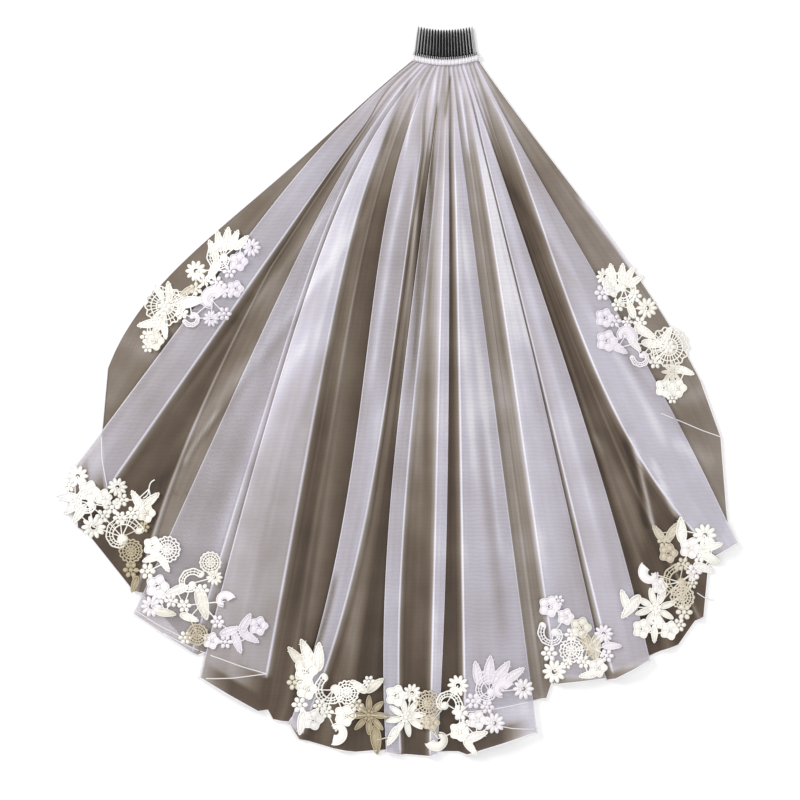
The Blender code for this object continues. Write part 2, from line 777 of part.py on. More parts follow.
def main():
    clear_scene()
    net = material("tulle", (0.86, 0.83, 0.88), 0.85)
    cord = material("cord", (0.93, 0.92, 0.92), 0.6)
    lace = material("lace", (0.90, 0.89, 0.86), 0.7)
    satin = material("binding", (0.90, 0.89, 0.90), 0.55)
    plastic = material("comb", (0.03, 0.03, 0.035), 0.35)
    tulle, grid, normals = make_tulle(net)
    hem = make_hem(grid, normals, cord)
    for name, motifs in LACE.items():
        make_lace(name, motifs, (tulle, hem), lace)
    make_binding(satin)
    make_comb(plastic)


main()
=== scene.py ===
import math

import bpy
import numpy as np
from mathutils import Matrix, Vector
from mathutils.bvhtree import BVHTree


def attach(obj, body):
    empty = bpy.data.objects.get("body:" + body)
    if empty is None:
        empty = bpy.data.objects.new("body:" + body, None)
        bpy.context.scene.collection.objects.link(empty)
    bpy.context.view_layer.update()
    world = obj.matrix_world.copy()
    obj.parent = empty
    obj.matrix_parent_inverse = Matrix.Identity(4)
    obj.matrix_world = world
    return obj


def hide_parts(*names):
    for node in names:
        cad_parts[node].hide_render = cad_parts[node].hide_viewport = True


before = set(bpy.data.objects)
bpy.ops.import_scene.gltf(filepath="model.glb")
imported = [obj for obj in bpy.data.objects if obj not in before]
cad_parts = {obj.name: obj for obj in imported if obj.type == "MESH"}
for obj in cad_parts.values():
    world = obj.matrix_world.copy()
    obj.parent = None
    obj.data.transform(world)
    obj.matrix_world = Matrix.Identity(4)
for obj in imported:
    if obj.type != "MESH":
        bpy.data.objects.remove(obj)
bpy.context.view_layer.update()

# A bridal veil laid flat. Places are millimetres in the tables and metres in the meshes.
# +Y points to the comb, +X to the right, and the cloth rests on z = 0.
mm = 0.001

veil = {
    "rows": 172,            # rows of points from the comb to the hem
    "rowCrowding": 1.2,     # above 1 the rows crowd towards the comb
    "gatherX": 61.5, "gatherY": 421.0, "gatherHalf": 42.0, "gatherSag": 6.5,
    "neckPower": 7,         # how fast the folds draw together near the comb
    "layerPitch": 1.7, "foldSlope": 0.6,
    "pleatClear": 2.6, "ridgeClear": 0.8,
    "gatherFrom": 0.02, "gatherTo": 0.14, "gatherHeight": 1.3, "gatherSwell": 0.5,
    # The gathers are painted lighter on their crests and darker in their troughs: painted light and shade.
    "paintFrom": 0.01, "paintTo": 0.25, "waveCrestLight": 0.14, "waveShade": -0.02,
    "leftTone": 0.35, "rightTone": 0.41,    # tones of the two side edges
    "lift": 0.5,            # the net runs in the middle of its 1 mm wall
}

# Each edge is (fan, hem x, hem y, bow, late): it points back to fan on the gather line, ends at the
# hem point, and bows to +X by bow, the more so near the hem the larger late is.
# cover is how closely the folded layers hide what is under them, and pale how light they are.
# near and far are the tones of the single layer from this fold's foot to the next fold, a dark near
# being painted shade beside the fold. top is the fold's tone in the gathers, shine the painted
# highlight along a ridge's crest, and a pair goes from the comb to the hem.
leftBorder = [(2, -367, 30, -24, 3)]
leftFolds = [
    dict(name="outer", top=0.62, crest=(-23, -410, -97, 0, 2), under=(11, -367, -122, 0, 2),
         tuck=60, drop=62, roll=2.2, cover=0.46, pale=(0.84, 0.74),
         near=(0.12, 0.14), far=(0.14, 0.13)),
    dict(name="strip", top=0.7, crest=(-32, -328, -254, -20, 2), half=5, height=5.0,
         shine=(0.40, 0.66), near=(0.24, 0.36), far=0.40),
    dict(name="inner", top=0.78, crest=(-15, -334, -281, 0, 2), under=(-33, -259, -326, 0, 2),
         tuck=28, drop=4, roll=1.8, cover=0.34, pale=(0.84, 0.76), near=0.55, far=0.55),
    dict(name="broad", top=0.74, crest=(-31, -250, -363, -6, 2), under=(-24, -165, -357, 0, 2),
         tuck=34, drop=48, roll=2.4, cover=0.74, pale=(0.90, 0.62),
         near=(0.28, 0.18), far=(0.24, 0.13)),
    dict(name="hollow", top=0.6, crest=(-9, -143, -418, 0, 2), half=10, height=3.5,
         shine=(0.34, 0.24), near=0.20, far=0.12),
    dict(name="slant", top=0.66, crest=(6, -137, -422, 24, 2), under=(50, -119, -427, 25, 2),
         tuck=10, drop=14, roll=2.0, cover=0.52, pale=(0.72, 0.86), near=0.14, far=0.26),
    dict(name="bottom", top=0.72, crest=(50, -66, -455, 5, 2), half=14, height=4.5,
         shine=(0.36, 0.06), near=(0.24, 0.06), far=0.06),
    dict(name="slim", top=0.64, crest=(51, -14, -457, -18, 2), under=(62, 4, -457, -15, 2),
         tuck=3, drop=3, roll=1.4, cover=0.50, pale=(0.66, 0.86), near=(0.70, 0.12), far=0.12),
]
rightBorder = [(103, 385, 15, 10, 2), (105, 411, -57, 8, 2)]
rightFolds = [
    dict(name="wing", top=0.72, crest=(95, 431, -192, 9, 2), under=(103, 402, -204, -36, 2),
         tuck=28, drop=4, roll=1.8, cover=0.58, pale=(0.78, 0.88), near=(0.30, 0.10), far=0.20),
    dict(name="crisp", top=0.6, crest=(80, 384, -288, -10, 2), half=6, height=5.0,
         shine=(0.20, 0.36), near=0.12, far=0.16),
    dict(name="soft", top=0.66, crest=(85, 346, -325, 0, 2), half=12, height=4.0,
         shine=(0.14, 0.30), near=0.13, far=0.16),
    dict(name="panel", top=0.78, crest=(88, 321, -340, 9, 2), under=(84, 272, -351, 0, 2),
         tuck=5, drop=13, roll=2.4, cover=0.62, pale=(0.76, 0.80), near=0.40, far=0.42),
    dict(name="leaf", top=0.7, crest=(88, 265, -363, 0, 2), under=(91, 202, -358, 0, 2),
         tuck=3, drop=12, roll=1.6, cover=0.54, pale=(1.0, 0.80), near=0.36, far=0.44),
    dict(name="rib", top=0.66, crest=(78, 186, -389, 0, 2), half=4, height=3.0,
         shine=0.52, near=0.46, far=0.46),
    dict(name="wide", top=0.68, crest=(67, 178, -432, 0, 2), under=(73, 86, -406, 0, 2),
         tuck=41, drop=53, roll=2.2, cover=0.44, pale=0.87, near=(0.16, 0.06), far=0.14),
    dict(name="stem", top=0.58, crest=(70, 51, -459, 6, 2), under=(63, 42, -459, 0, 2),
         tuck=3, drop=3, roll=1.4, cover=0.56, pale=0.90, near=(0.66, 0.16), far=0.14),
]

# Points per span of a pleat: beneath, under turn, middle layer, crest turn, top layer, foot.
pleatSpans = (4, 1, 1, 1, 4, 4, 1, 1, 1, 6, 6, 1, 1, 2)
ridgeSpans = (2, 2, 2, 2)
gapSpan = 9
pleatWave = (0.0, 0.04, 0.14, 0.29, 0.47, 0.65, 0.81, 0.93, 0.99, 1.0, 0.9, 0.62, 0.27, 0.17,
             0.04)
ridgeWave = (0.0, 0.5, 1.0, 0.5, 0.0)


# 3t^2 - 2t^3, held between 0 and 1
def smooth(t):
    t = np.clip(t, 0.0, 1.0)
    return t * t * (3.0 - 2.0 * t)


# The gathered edge: x = centre + across * half, y = centre - sag * (1 - across^2) + forward
def gatherPoint(across, forward=0.0):
    across, forward = np.broadcast_arrays(np.asarray(across, float), np.asarray(forward, float))
    x = veil["gatherX"] + across * veil["gatherHalf"]
    y = veil["gatherY"] - veil["gatherSag"] * (1.0 - across * across) + forward
    return np.stack([x, y], axis=-1)


# start + run * down, pulled to the gathers by (1 - down)^neckPower, plus the bow sideways
def edgeCurve(edge, across, down):
    fan, hemX, hemY, bow, late = edge
    down = np.asarray(down, float)[:, None]
    start = np.array([fan, veil["gatherY"]])
    run = np.array([hemX, hemY]) - start
    side = np.array([-run[1], run[0]]) / np.hypot(*run)
    rest = np.maximum(0.0, 1.0 - down)
    neck = (gatherPoint(across) - start) * rest ** veil["neckPower"]
    peak = (late + 1.0) ** (late + 1.0) / late**late
    return start + run * down + neck + side * bow * peak * down**late * rest


def edgeLength(edge):
    return math.hypot(edge[1] - edge[0], edge[2] - veil["gatherY"])


# Unit step at right angles to an edge, towards the middle of the veil
def acrossStep(edge, across, down, towards):
    run = edgeCurve(edge, across, down + 0.01) - edgeCurve(edge, across, down - 0.01)
    side = np.stack([-run[:, 1], run[:, 0]], axis=1)
    return side / np.linalg.norm(side, axis=1, keepdims=True) * towards


# (x, y) pairs and heights as one column of points
def column(flat, height):
    return np.concatenate([flat, np.broadcast_to(height, len(flat))[:, None]], axis=1)


# A knife pleat. The net comes in under the crest, turns up and back at the under edge on a
# circle, turns again at the crest on a circle, and falls from the under edge at the fold slope
def pleatColumns(fold, across, down, towards, start, reach, shift):
    crestLength = edgeLength(fold["crest"])
    underLength = edgeLength(fold["under"])
    crest = edgeCurve(fold["crest"], across, down) + shift
    under = edgeCurve(fold["under"], across, down)
    beneath = edgeCurve(fold["crest"], across, down * (1.0 - fold["tuck"] / crestLength)) + shift
    above = edgeCurve(fold["under"], across, down * (1.0 + fold["drop"] / underLength))
    roll = 0.85 + (fold["roll"] - 0.85) * smooth(down * 1.6)
    step = acrossStep(fold["crest"], across, down, towards)
    width = np.sum((under - crest) * step, axis=1)
    short = np.maximum(0.0, 2.0 * roll + 1.2 - width)
    under = under + step * short[:, None]
    above = above + step * short[:, None]
    width = width + short
    step = under - crest
    step = step / np.linalg.norm(step, axis=1, keepdims=True)
    here = start(np.zeros_like(down))
    there = start(width)
    pitch = veil["layerPitch"]
    made = [column(beneath, here)]
    for angle in np.radians((-90, -30, 30, 90)):
        made.append(column(under + step * (roll * (math.cos(angle) - 1.0))[:, None],
                           there + roll * (1.0 + math.sin(angle))))
    arch = 1.6 * roll * smooth(down * 3.0) * np.minimum(1.0, width / 40.0)
    made.append(column((crest + under) / 2.0, (here + pitch + there + 2.0 * roll) / 2.0 + arch * 0.6))
    for angle in np.radians((-90, -30, 30, 90)):
        made.append(column(crest + step * (roll * (1.0 - math.cos(angle)))[:, None],
                           here + pitch + roll * (1.0 + math.sin(angle))))
    outer = roll + pitch
    top = there + roll + outer
    made.append(column((crest + above) / 2.0, (here + pitch + 2.0 * roll + top) / 2.0 + arch))
    made.append(column(above - step * roll[:, None], top))
    lean = math.atan(veil["foldSlope"])
    shoulder = outer * math.sin(lean) - roll
    shoulderHeight = there + roll + outer * math.cos(lean)
    made.append(column(above + step * shoulder[:, None], shoulderHeight))
    footAt = np.minimum(shoulder + shoulderHeight / veil["foldSlope"],
                        np.maximum(shoulder + 0.8, reach - width - 1.0))
    foot = np.maximum(0.0, shoulderHeight - veil["foldSlope"] * (footAt - shoulder))
    slopeAt = shoulder + 0.3 * (footAt - shoulder)
    made.append(column(above + step * slopeAt[:, None], 0.7 * shoulderHeight + 0.3 * foot))
    made.append(column(above + step * footAt[:, None], foot))

    def carryOn(distance):
        fall = veil["foldSlope"] * np.maximum(0.0, distance - shoulder)
        return np.minimum(top, np.maximum(0.0, shoulderHeight - fall))

    return made, under, carryOn


def halfWidth(fold, down):
    return fold["half"] * (0.12 + 0.88 * down**1.5)


# A soft ridge of five columns, its height a share of the fold's, between its neighbours
def ridgeColumns(fold, across, down, towards, start, low, high):
    crest = edgeCurve(fold["crest"], across, down)
    step = acrossStep(fold["crest"], across, down, towards)
    half = np.maximum(1.2, np.minimum(halfWidth(fold, down), 0.4 * (high - low)))
    place = np.minimum(np.maximum(0.0, low + half), np.maximum(high - half, low + half))
    crest = crest + step * place[:, None]
    height = np.minimum(fold["height"] * smooth(down * 2.5 + 0.2), 0.7 * half)
    made = []
    for share, rise in ((-1.0, 0.0), (-0.45, 0.6), (0.0, 1.0), (0.45, 0.6), (1.0, 0.0)):
        made.append(column(crest + step * (half * share)[:, None],
                           start(place + half * share) + height * rise))

    def carryOn(distance):
        return start(place + half + distance)

    return made, crest + step * half[:, None], carryOn


# One small wave of the net, half way to the folds beside it; heights follow the wave table
def gatherColumns(waves, before, here, after, down):
    made = []
    height = veil["gatherHeight"] + veil["gatherSwell"] * smooth(down / veil["gatherFrom"])
    for index, rise in enumerate(waves):
        along = index / (len(waves) - 1)
        share = 0.9 * (along - 0.1 * math.sin(math.pi * along)) - 0.45
        neighbour = after if share > 0.0 else before
        made.append(column(here + (neighbour - here) * abs(share), height * rise))
    return made


def shifted(heightAt, gap):
    return lambda distance: heightAt(gap + distance)


# Tone 0 is the darkest single layer and 1 the whitest edge, a fold's turn pale from its doubled cloth
# and from a painted highlight. Cover 1 hides what is under it.
bottomCover = 0.95
edgeTone = 1.0


# A tone, or a pair of them that pass into each other half way down
def toneAlong(value, down):
    high, low = value if isinstance(value, tuple) else (value, value)
    return high + (low - high) * smooth(down * 1.6 - 0.4)


# Tone and cover of each column of a fold, in the order that its columns are made.
# Where a pleat's top layer runs on past the hem of the layers under it, it is a single layer
# Fold edges and ridge crests carry painted highlights, and a dark tone at a fold's foot is painted shade.
def foldPaint(fold, down, arriving):
    near = toneAlong(fold["near"], down)
    if "under" not in fold:
        shine = toneAlong(fold["shine"], down)
        return [(arriving, bottomCover), (0.65 * shine + 0.35 * arriving, bottomCover),
                (shine, bottomCover), (0.55 * shine + 0.45 * near, bottomCover), (near, bottomCover)]
    pale, cover = toneAlong(fold["pale"], down), fold["cover"]
    edgeCover = min(0.92, cover + 0.34)
    past = down * (1.0 + fold["drop"] / edgeLength(fold["under"])) - 1.0
    halfPast = down * (1.0 + 0.5 * fold["drop"] / edgeLength(fold["under"])) - 1.0
    single, halfSingle = smooth(past / 0.008), smooth(halfPast / 0.008)
    alone = toneAlong(fold["far"], down)
    paint = [(arriving, bottomCover)]
    paint += [(0.5, bottomCover), (0.8, edgeCover), (edgeTone, edgeCover), (pale, cover)]
    paint += [(pale, cover)]
    paint += [(pale, cover), (edgeTone, edgeCover), (edgeTone, edgeCover), (pale, cover)]
    paint += [(pale + (alone - pale) * halfSingle, cover + (bottomCover - cover) * halfSingle)]
    paint += [(pale + (alone - pale) * single, cover + (bottomCover - cover) * single)]
    footEdge = edgeTone + (alone - edgeTone) * single
    paint += [(footEdge, bottomCover), (0.3 * footEdge + 0.7 * near, bottomCover), (near, bottomCover)]
    return paint


# Columns from a side edge to the middle, each with its tone, its cover and its span count
def halfVeil(border, folds, acrosses, towards, down, middle):
    blend = smooth((down - veil["gatherFrom"]) / (veil["gatherTo"] - veil["gatherFrom"]))[:, None]
    paintShare = smooth((down - veil["paintFrom"]) / (veil["paintTo"] - veil["paintFrom"]))
    columns = []
    for index, edge in enumerate(border):
        lastInner = edgeCurve(edge, -towards * (1.0 - 0.012 * index), down)
        arriving = veil["leftTone"] if towards > 0.0 else veil["rightTone"]
        columns.append((column(lastInner, 0.0), arriving, bottomCover, gapSpan))
    heightAt = np.zeros_like
    clear = 1.5
    before = lastInner
    for index, fold in enumerate(folds):
        across = acrosses[index]
        isPleat = "under" in fold
        here = edgeCurve(fold["crest"], across, down)
        step = acrossStep(fold["crest"], across, down, towards)
        gap = np.sum((here - lastInner) * step, axis=1)
        if index + 1 < len(folds):
            following = edgeCurve(folds[index + 1]["crest"], acrosses[index + 1], down)
            after = following
        else:
            following = middle
            after = 2.0 * middle - here
        reach = np.sum((following - here) * step, axis=1)
        if index + 1 < len(folds) and "under" not in folds[index + 1]:
            reach = reach - halfWidth(folds[index + 1], down)
        if isPleat:
            push = np.maximum(0.0, clear - gap)
            start = shifted(heightAt, gap + push)
            made, lastInner, heightAt = pleatColumns(
                fold, across, down, towards, start, reach - push, step * push[:, None])
        else:
            start = shifted(heightAt, gap)
            made, lastInner, heightAt = ridgeColumns(
                fold, across, down, towards, start, clear - gap, reach - 1.0)
        waves = pleatWave if isPleat else ridgeWave
        spans = (pleatSpans if isPleat else ridgeSpans) + (gapSpan,)
        clear = veil["pleatClear"] if isPleat else veil["ridgeClear"]
        gathered = gatherColumns(waves, before, here, after, down)
        before = here
        painted = foldPaint(fold, down, arriving)
        arriving = toneAlong(fold["far"], down)
        for g, m, rise, paint, span in zip(gathered, made, waves, painted, spans):
            # Painted light on the crests of the gathers, painted shade in their troughs.
            gatherTone = fold["top"] + veil["waveCrestLight"] * rise + veil["waveShade"]
            tone = gatherTone * (1.0 - paintShare) + paint[0] * paintShare
            cover = bottomCover * (1.0 - paintShare) + paint[1] * paintShare
            columns.append((g * (1.0 - blend) + m * blend, tone, cover, span))
    return columns


# Straight steps between the columns, as many as each column's span count says
def refined(columns):
    size = len(columns[0][0])
    points, tones, covers = [], [], []
    for (a, toneA, coverA, span), (b, toneB, coverB, _) in zip(columns, columns[1:]):
        for k in range(span):
            t = k / span
            points.append(a * (1.0 - t) + b * t)
            tones.append(np.broadcast_to(toneA, size) * (1.0 - t) + np.broadcast_to(toneB, size) * t)
            covers.append(np.broadcast_to(coverA, size) * (1.0 - t)
                          + np.broadcast_to(coverB, size) * t)
    points.append(columns[-1][0])
    tones.append(np.broadcast_to(columns[-1][1], size))
    covers.append(np.broadcast_to(columns[-1][2], size))
    return np.stack(points, 1), np.stack(tones, 1), np.stack(covers, 1)


# The whole net as one grid of points (rows, columns, 3) with its tone and cover
def veilSurface():
    down = np.linspace(0.0, 1.0, veil["rows"]) ** veil["rowCrowding"]
    pitch = 2.0 / (len(leftFolds) + len(rightFolds) + 0.6)
    left = [-1.0 + pitch * (index + 0.8) for index in range(len(leftFolds))]
    right = [1.0 - pitch * (index + 0.8) for index in range(len(rightFolds))]
    middle = (edgeCurve(leftFolds[-1]["under"], left[-1], down)
              + edgeCurve(rightFolds[-1]["under"], right[-1], down)) / 2.0
    fromLeft = halfVeil(leftBorder, leftFolds, left, 1.0, down, middle)
    fromRight = halfVeil(rightBorder, rightFolds, right, -1.0, down, middle)
    spans = [c[3] for c in fromRight]
    turned = [(c[0], c[1], c[2], s) for c, s in zip(fromRight, [0] + spans)][::-1]
    points, tones, covers = refined(fromLeft + turned)
    points[..., 2] += veil["lift"]
    return points, tones, covers, down


# Soft creases: places along each, half width, height, and how much lighter or darker.
# Most raised creases are painted lighter and sunken ones and slits darker: painted light and shade.
creases = [
    dict(path=((40, 330), (-60, 190), (-200, 20), (-300, -90)), half=9, height=0.8, tone=0.10),
    dict(path=((20, 300), (-100, 130), (-250, -60), (-330, -130)), half=6, height=-0.6, tone=-0.10),
    dict(path=((0, 330), (-150, 150), (-260, 10), (-360, -110)), half=5, height=0.6, tone=0.08),
    dict(path=((-218, -10), (-244, -48), (-262, -75), (-272, -99)), half=3, height=1.6, tone=0.26),
    dict(path=((-90, 110), (-150, 0), (-200, -120), (-235, -240)), half=9, height=0.9, tone=0.12),
    dict(path=((-70, 90), (-120, -30), (-160, -160), (-185, -290)), half=7, height=-0.8, tone=-0.10),
    dict(path=((-60, 250), (-95, 90), (-140, -90), (-185, -270)), half=5, height=0.9, tone=0.10),
    dict(path=((-85, 90), (-100, -30), (-115, -160), (-135, -300)), half=12, height=1.0, tone=-0.08),
    dict(path=((-45, 200), (-70, 20), (-95, -180), (-120, -330)), half=6, height=1.2, tone=0.12),
    dict(path=((20, 300), (-5, 200), (-20, 100), (-40, -30)), half=4, height=0.8, tone=0.22),
    dict(path=((-76, -222), (-84, -262), (-94, -300), (-106, -336)), half=4, height=-1.4, tone=-0.34),
    dict(path=((-20, 60), (-30, -100), (-50, -250), (-62, -400)), half=9, height=1.0, tone=0.14),
    dict(path=((25, 330), (22, 200), (12, 60), (-5, -100)), half=4, height=0.9, tone=0.20),
    dict(path=((31, 290), (30, 200), (26, 100), (20, 0)), half=4, height=-1.0, tone=-0.18),
    dict(path=((45, 330), (43, 180), (38, 20), (36, -160)), half=5, height=-1.2, tone=-0.20),
    dict(path=((72, 330), (76, 180), (90, 0), (112, -200)), half=6, height=0.8, tone=0.12),
    dict(path=((100, 0), (112, -120), (126, -230), (140, -350)), half=8, height=0.9, tone=-0.16),
    dict(path=((80, 250), (98, 90), (118, -90), (140, -260)), half=4, height=0.7, tone=0.12),
    dict(path=((130, 60), (158, -80), (182, -200), (200, -330)), half=8, height=0.9, tone=0.12),
    dict(path=((150, 90), (196, -60), (226, -190), (244, -330)), half=9, height=-0.8, tone=-0.08),
    dict(path=((110, 330), (160, 160), (222, -60), (280, -280)), half=7, height=1.0, tone=0.12),
    dict(path=((293, -48), (309, -99), (321, -150), (328, -175)), half=3, height=1.8, tone=0.42),
    dict(path=((285, -45), (300, -97), (312, -148), (318, -176)), half=4, height=-1.4, tone=-0.22),
    dict(path=((321, -80), (334, -112), (347, -144), (359, -163)), half=3, height=1.6, tone=0.36),
    dict(path=((245, -48), (270, -86), (298, -150), (315, -213)), half=7, height=1.2, tone=0.16),
    dict(path=((140, 320), (220, 150), (300, 10), (350, -90)), half=7, height=0.8, tone=0.10),
    dict(path=((120, 300), (190, 190), (280, 60), (370, -60)), half=5, height=-0.7, tone=-0.10),
    dict(path=((226, 253), (258, 212), (290, 168), (300, 151)), half=2.5, height=0.8, tone=0.46),
    dict(path=((-360, 76), (-340, 62), (-318, 50), (-296, 40)), half=9, height=0.8, tone=0.10),
    dict(path=((345, -60), (366, -72), (388, -82), (408, -88)), half=10, height=0.8, tone=0.10),
    dict(path=((68, 406), (66, 388), (63, 366), (61, 342)), half=1.6, height=-0.3, tone=-0.24),
    dict(path=((53, 375), (49, 340), (45, 300), (41, 245)), half=1.8, height=-0.3, tone=-0.30),
    dict(path=((19, 408), (6, 375), (-8, 340), (-24, 290)), half=3.5, height=-0.3, tone=-0.20),
    dict(path=((30, 400), (24, 370), (16, 335), (8, 290)), half=2.0, height=0.4, tone=0.24),
    dict(path=((50, 405), (47, 370), (44, 335), (40, 290)), half=2.2, height=0.3, tone=0.18),
    dict(path=((80, 404), (83, 370), (87, 335), (92, 290)), half=2.4, height=0.4, tone=0.22),
    dict(path=((98, 404), (104, 376), (112, 345), (122, 305)), half=2.4, height=0.3, tone=0.16),
    dict(path=((338, -6), (360, -8), (382, -2), (400, 8)), half=9, height=0.8, tone=0.10),
]


# exp(-(distance / half)^2) from a smooth path, faded over the last fifth at both ends
def creaseWeight(crease, points):
    stops = np.array(crease["path"], float)
    along = np.array([0.0, 1.0, 2.0, 3.0])
    fine = np.linspace(0.0, 3.0, 60)
    pathX = np.polyval(np.polyfit(along, stops[:, 0], 3), fine)
    pathY = np.polyval(np.polyfit(along, stops[:, 1], 3), fine)
    upright = abs(stops[-1, 1] - stops[0, 1]) > abs(stops[-1, 0] - stops[0, 0])
    run, side = (pathY, pathX) if upright else (pathX, pathY)
    order = np.argsort(run)
    run, side, share = run[order], side[order], (fine / 3.0)[order]
    place, offset = (points[..., 1], points[..., 0]) if upright else (points[..., 0], points[..., 1])
    middle = np.interp(place, run, side)
    slope = np.interp(place, run, np.gradient(side, run))
    distance = (offset - middle) / np.sqrt(1.0 + slope**2)
    t = np.interp(place, run, share)
    inside = (place >= run[0]) & (place <= run[-1])
    fade = smooth(t / 0.2) * smooth((1.0 - t) / 0.2) * inside
    return np.exp(-(distance / crease["half"]) ** 2) * fade


def addCreases(points, tones):
    for crease in creases:
        weight = creaseWeight(crease, points)
        points[..., 2] = np.maximum(0.3, points[..., 2] + crease["height"] * weight)
        # Painted light and shade along the crease.
        tones += crease["tone"] * weight
    return points, np.clip(tones, 0.0, 1.0)


# Quads of a grid, facing up where columns run to +X and rows to -Y
def gridFaces(rows, cols):
    a = (np.arange(rows - 1)[:, None] * cols + np.arange(cols - 1)).ravel()
    return np.stack([a, a + cols, a + cols + 1, a + 1], axis=1)


# An object at the origin from an array of points in mm and rows of vertex numbers
def meshPiece(name, points, faces, material, colours=None, uv=None):
    mesh = bpy.data.meshes.new(name)
    mesh.from_pydata((np.asarray(points).reshape(-1, 3) * mm).tolist(), [], [list(f) for f in faces])
    mesh.polygons.foreach_set("use_smooth", np.ones(len(mesh.polygons), dtype=bool))
    for label, values in (colours or {}).items():
        layer = mesh.attributes.new(label, "FLOAT", "POINT")
        layer.data.foreach_set("value", np.asarray(values, np.float32).ravel())
    if uv is not None:
        corner = np.empty(len(mesh.loops), dtype=np.int32)
        mesh.loops.foreach_get("vertex_index", corner)
        mesh.uv_layers.new(name="UVMap").data.foreach_set(
            "uv", np.asarray(uv, np.float32).reshape(-1, 2)[corner].ravel())
    mesh.update()
    obj = bpy.data.objects.new(name, mesh)
    bpy.context.scene.collection.objects.link(obj)
    mesh.materials.append(material)
    return obj


# Materials. Their colours are sRGB 0-255, made linear here with alpha 1
def linear(colour):
    c = np.array(colour) / 255.0
    low = c / 12.92
    high = ((c + 0.055) / 1.055) ** 2.4
    return (*np.where(c <= 0.04045, low, high).tolist(), 1.0)


def newMaterial(name, roughness):
    material = bpy.data.materials.new(name)
    material.use_nodes = True
    tree = material.node_tree
    shader = tree.nodes["Principled BSDF"]
    shader.inputs["Roughness"].default_value = roughness
    return material, tree, shader


def rampNode(tree, stops):
    ramp = tree.nodes.new("ShaderNodeValToRGB")
    elements = ramp.color_ramp.elements
    while len(elements) < len(stops):
        elements.new(0.5)
    for element, (place, colour) in zip(elements, stops):
        element.position = place
        element.color = linear(colour)
    return ramp


def mathNode(tree, kind, a, b):
    node = tree.nodes.new("ShaderNodeMath")
    node.operation = kind
    for socket, value in zip(node.inputs, (a, b)):
        if isinstance(value, (int, float)):
            socket.default_value = value
        else:
            tree.links.new(value, socket)
    return node.outputs[0]


def attributeNode(tree, name):
    node = tree.nodes.new("ShaderNodeAttribute")
    node.attribute_name = name
    return node.outputs["Fac"]


# How far a value from 0 to 1 lies from its middle, times size
def swing(tree, value, size):
    return mathNode(tree, "MULTIPLY", mathNode(tree, "SUBTRACT", value, 0.5), size)


# Noise on coordinates that a Mapping node stretches
def noiseOn(tree, coordinate, scale, stretch, detail=3.0):
    mapping = tree.nodes.new("ShaderNodeMapping")
    mapping.inputs["Scale"].default_value = stretch
    tree.links.new(coordinate, mapping.inputs["Vector"])
    noise = tree.nodes.new("ShaderNodeTexNoise")
    noise.inputs["Scale"].default_value = scale
    noise.inputs["Detail"].default_value = detail
    tree.links.new(mapping.outputs[0], noise.inputs["Vector"])
    return noise.outputs["Fac"]


def bumpFrom(tree, shader, height, strength, distance):
    bump = tree.nodes.new("ShaderNodeBump")
    bump.inputs["Strength"].default_value = strength
    bump.inputs["Distance"].default_value = distance
    tree.links.new(height, bump.inputs["Height"])
    tree.links.new(bump.outputs[0], shader.inputs["Normal"])


netLook = {
    "tones": [(0.0, (52, 41, 29)), (0.15, (84, 69, 56)), (0.32, (112, 99, 86)),
              (0.5, (146, 137, 129)), (0.72, (190, 183, 188)), (0.9, (214, 210, 223)),
              (1.0, (240, 238, 244))],
    "streak": 0.10, "streakStretch": (150.0, 3.0, 1.0), "cloud": 0.15, "cloudScale": 13.0,
    "ripple": 0.04, "rippleScale": 62.0, "meshSize": 1.1, "meshBump": 0.25,
    "roughness": 0.8, "sheen": 0.1,
}


# Smoky single layers and pale folded ones, with lengthwise streaks and a fine net
def netMaterial():
    material, tree, shader = newMaterial("tulleNet", netLook["roughness"])
    coords = tree.nodes.new("ShaderNodeTexCoord")
    streak = noiseOn(tree, coords.outputs["UV"], 1.0, netLook["streakStretch"], 4.0)
    cloud = noiseOn(tree, coords.outputs["Object"], netLook["cloudScale"], (1.0, 1.0, 1.0), 6.0)
    streakShift = swing(tree, streak, netLook["streak"] * 2)
    shifts = mathNode(tree, "ADD", streakShift, swing(tree, cloud, netLook["cloud"] * 2))
    # tone carries painted highlights on fold edges, ridges and gather crests, and painted shade beside folds
    # and in creases.
    level = mathNode(tree, "ADD", attributeNode(tree, "tone"), shifts)
    ramp = rampNode(tree, netLook["tones"])
    tree.links.new(level, ramp.inputs["Fac"])
    tree.links.new(ramp.outputs[0], shader.inputs["Base Color"])
    wave = tree.nodes.new("ShaderNodeTexWave")
    wave.bands_direction = "Y"
    wave.inputs["Scale"].default_value = netLook["rippleScale"]
    wave.inputs["Distortion"].default_value = 5.0
    wave.inputs["Detail"].default_value = 2.0
    tree.links.new(coords.outputs["Object"], wave.inputs["Vector"])
    ripple = swing(tree, wave.outputs["Fac"], netLook["ripple"])
    alpha = mathNode(tree, "ADD", mathNode(tree, "ADD", attributeNode(tree, "cover"), ripple),
                     mathNode(tree, "MULTIPLY", streakShift, 0.5))
    clamp = tree.nodes.new("ShaderNodeClamp")
    tree.links.new(alpha, clamp.inputs["Value"])
    tree.links.new(clamp.outputs[0], shader.inputs["Alpha"])
    cells = tree.nodes.new("ShaderNodeTexVoronoi")
    cells.feature = "DISTANCE_TO_EDGE"
    cells.inputs["Scale"].default_value = 1000.0 / netLook["meshSize"]
    tree.links.new(coords.outputs["Object"], cells.inputs["Vector"])
    bumpFrom(tree, shader, cells.outputs["Distance"], netLook["meshBump"], 0.0003)
    shader.inputs["Sheen Weight"].default_value = netLook["sheen"]
    return material


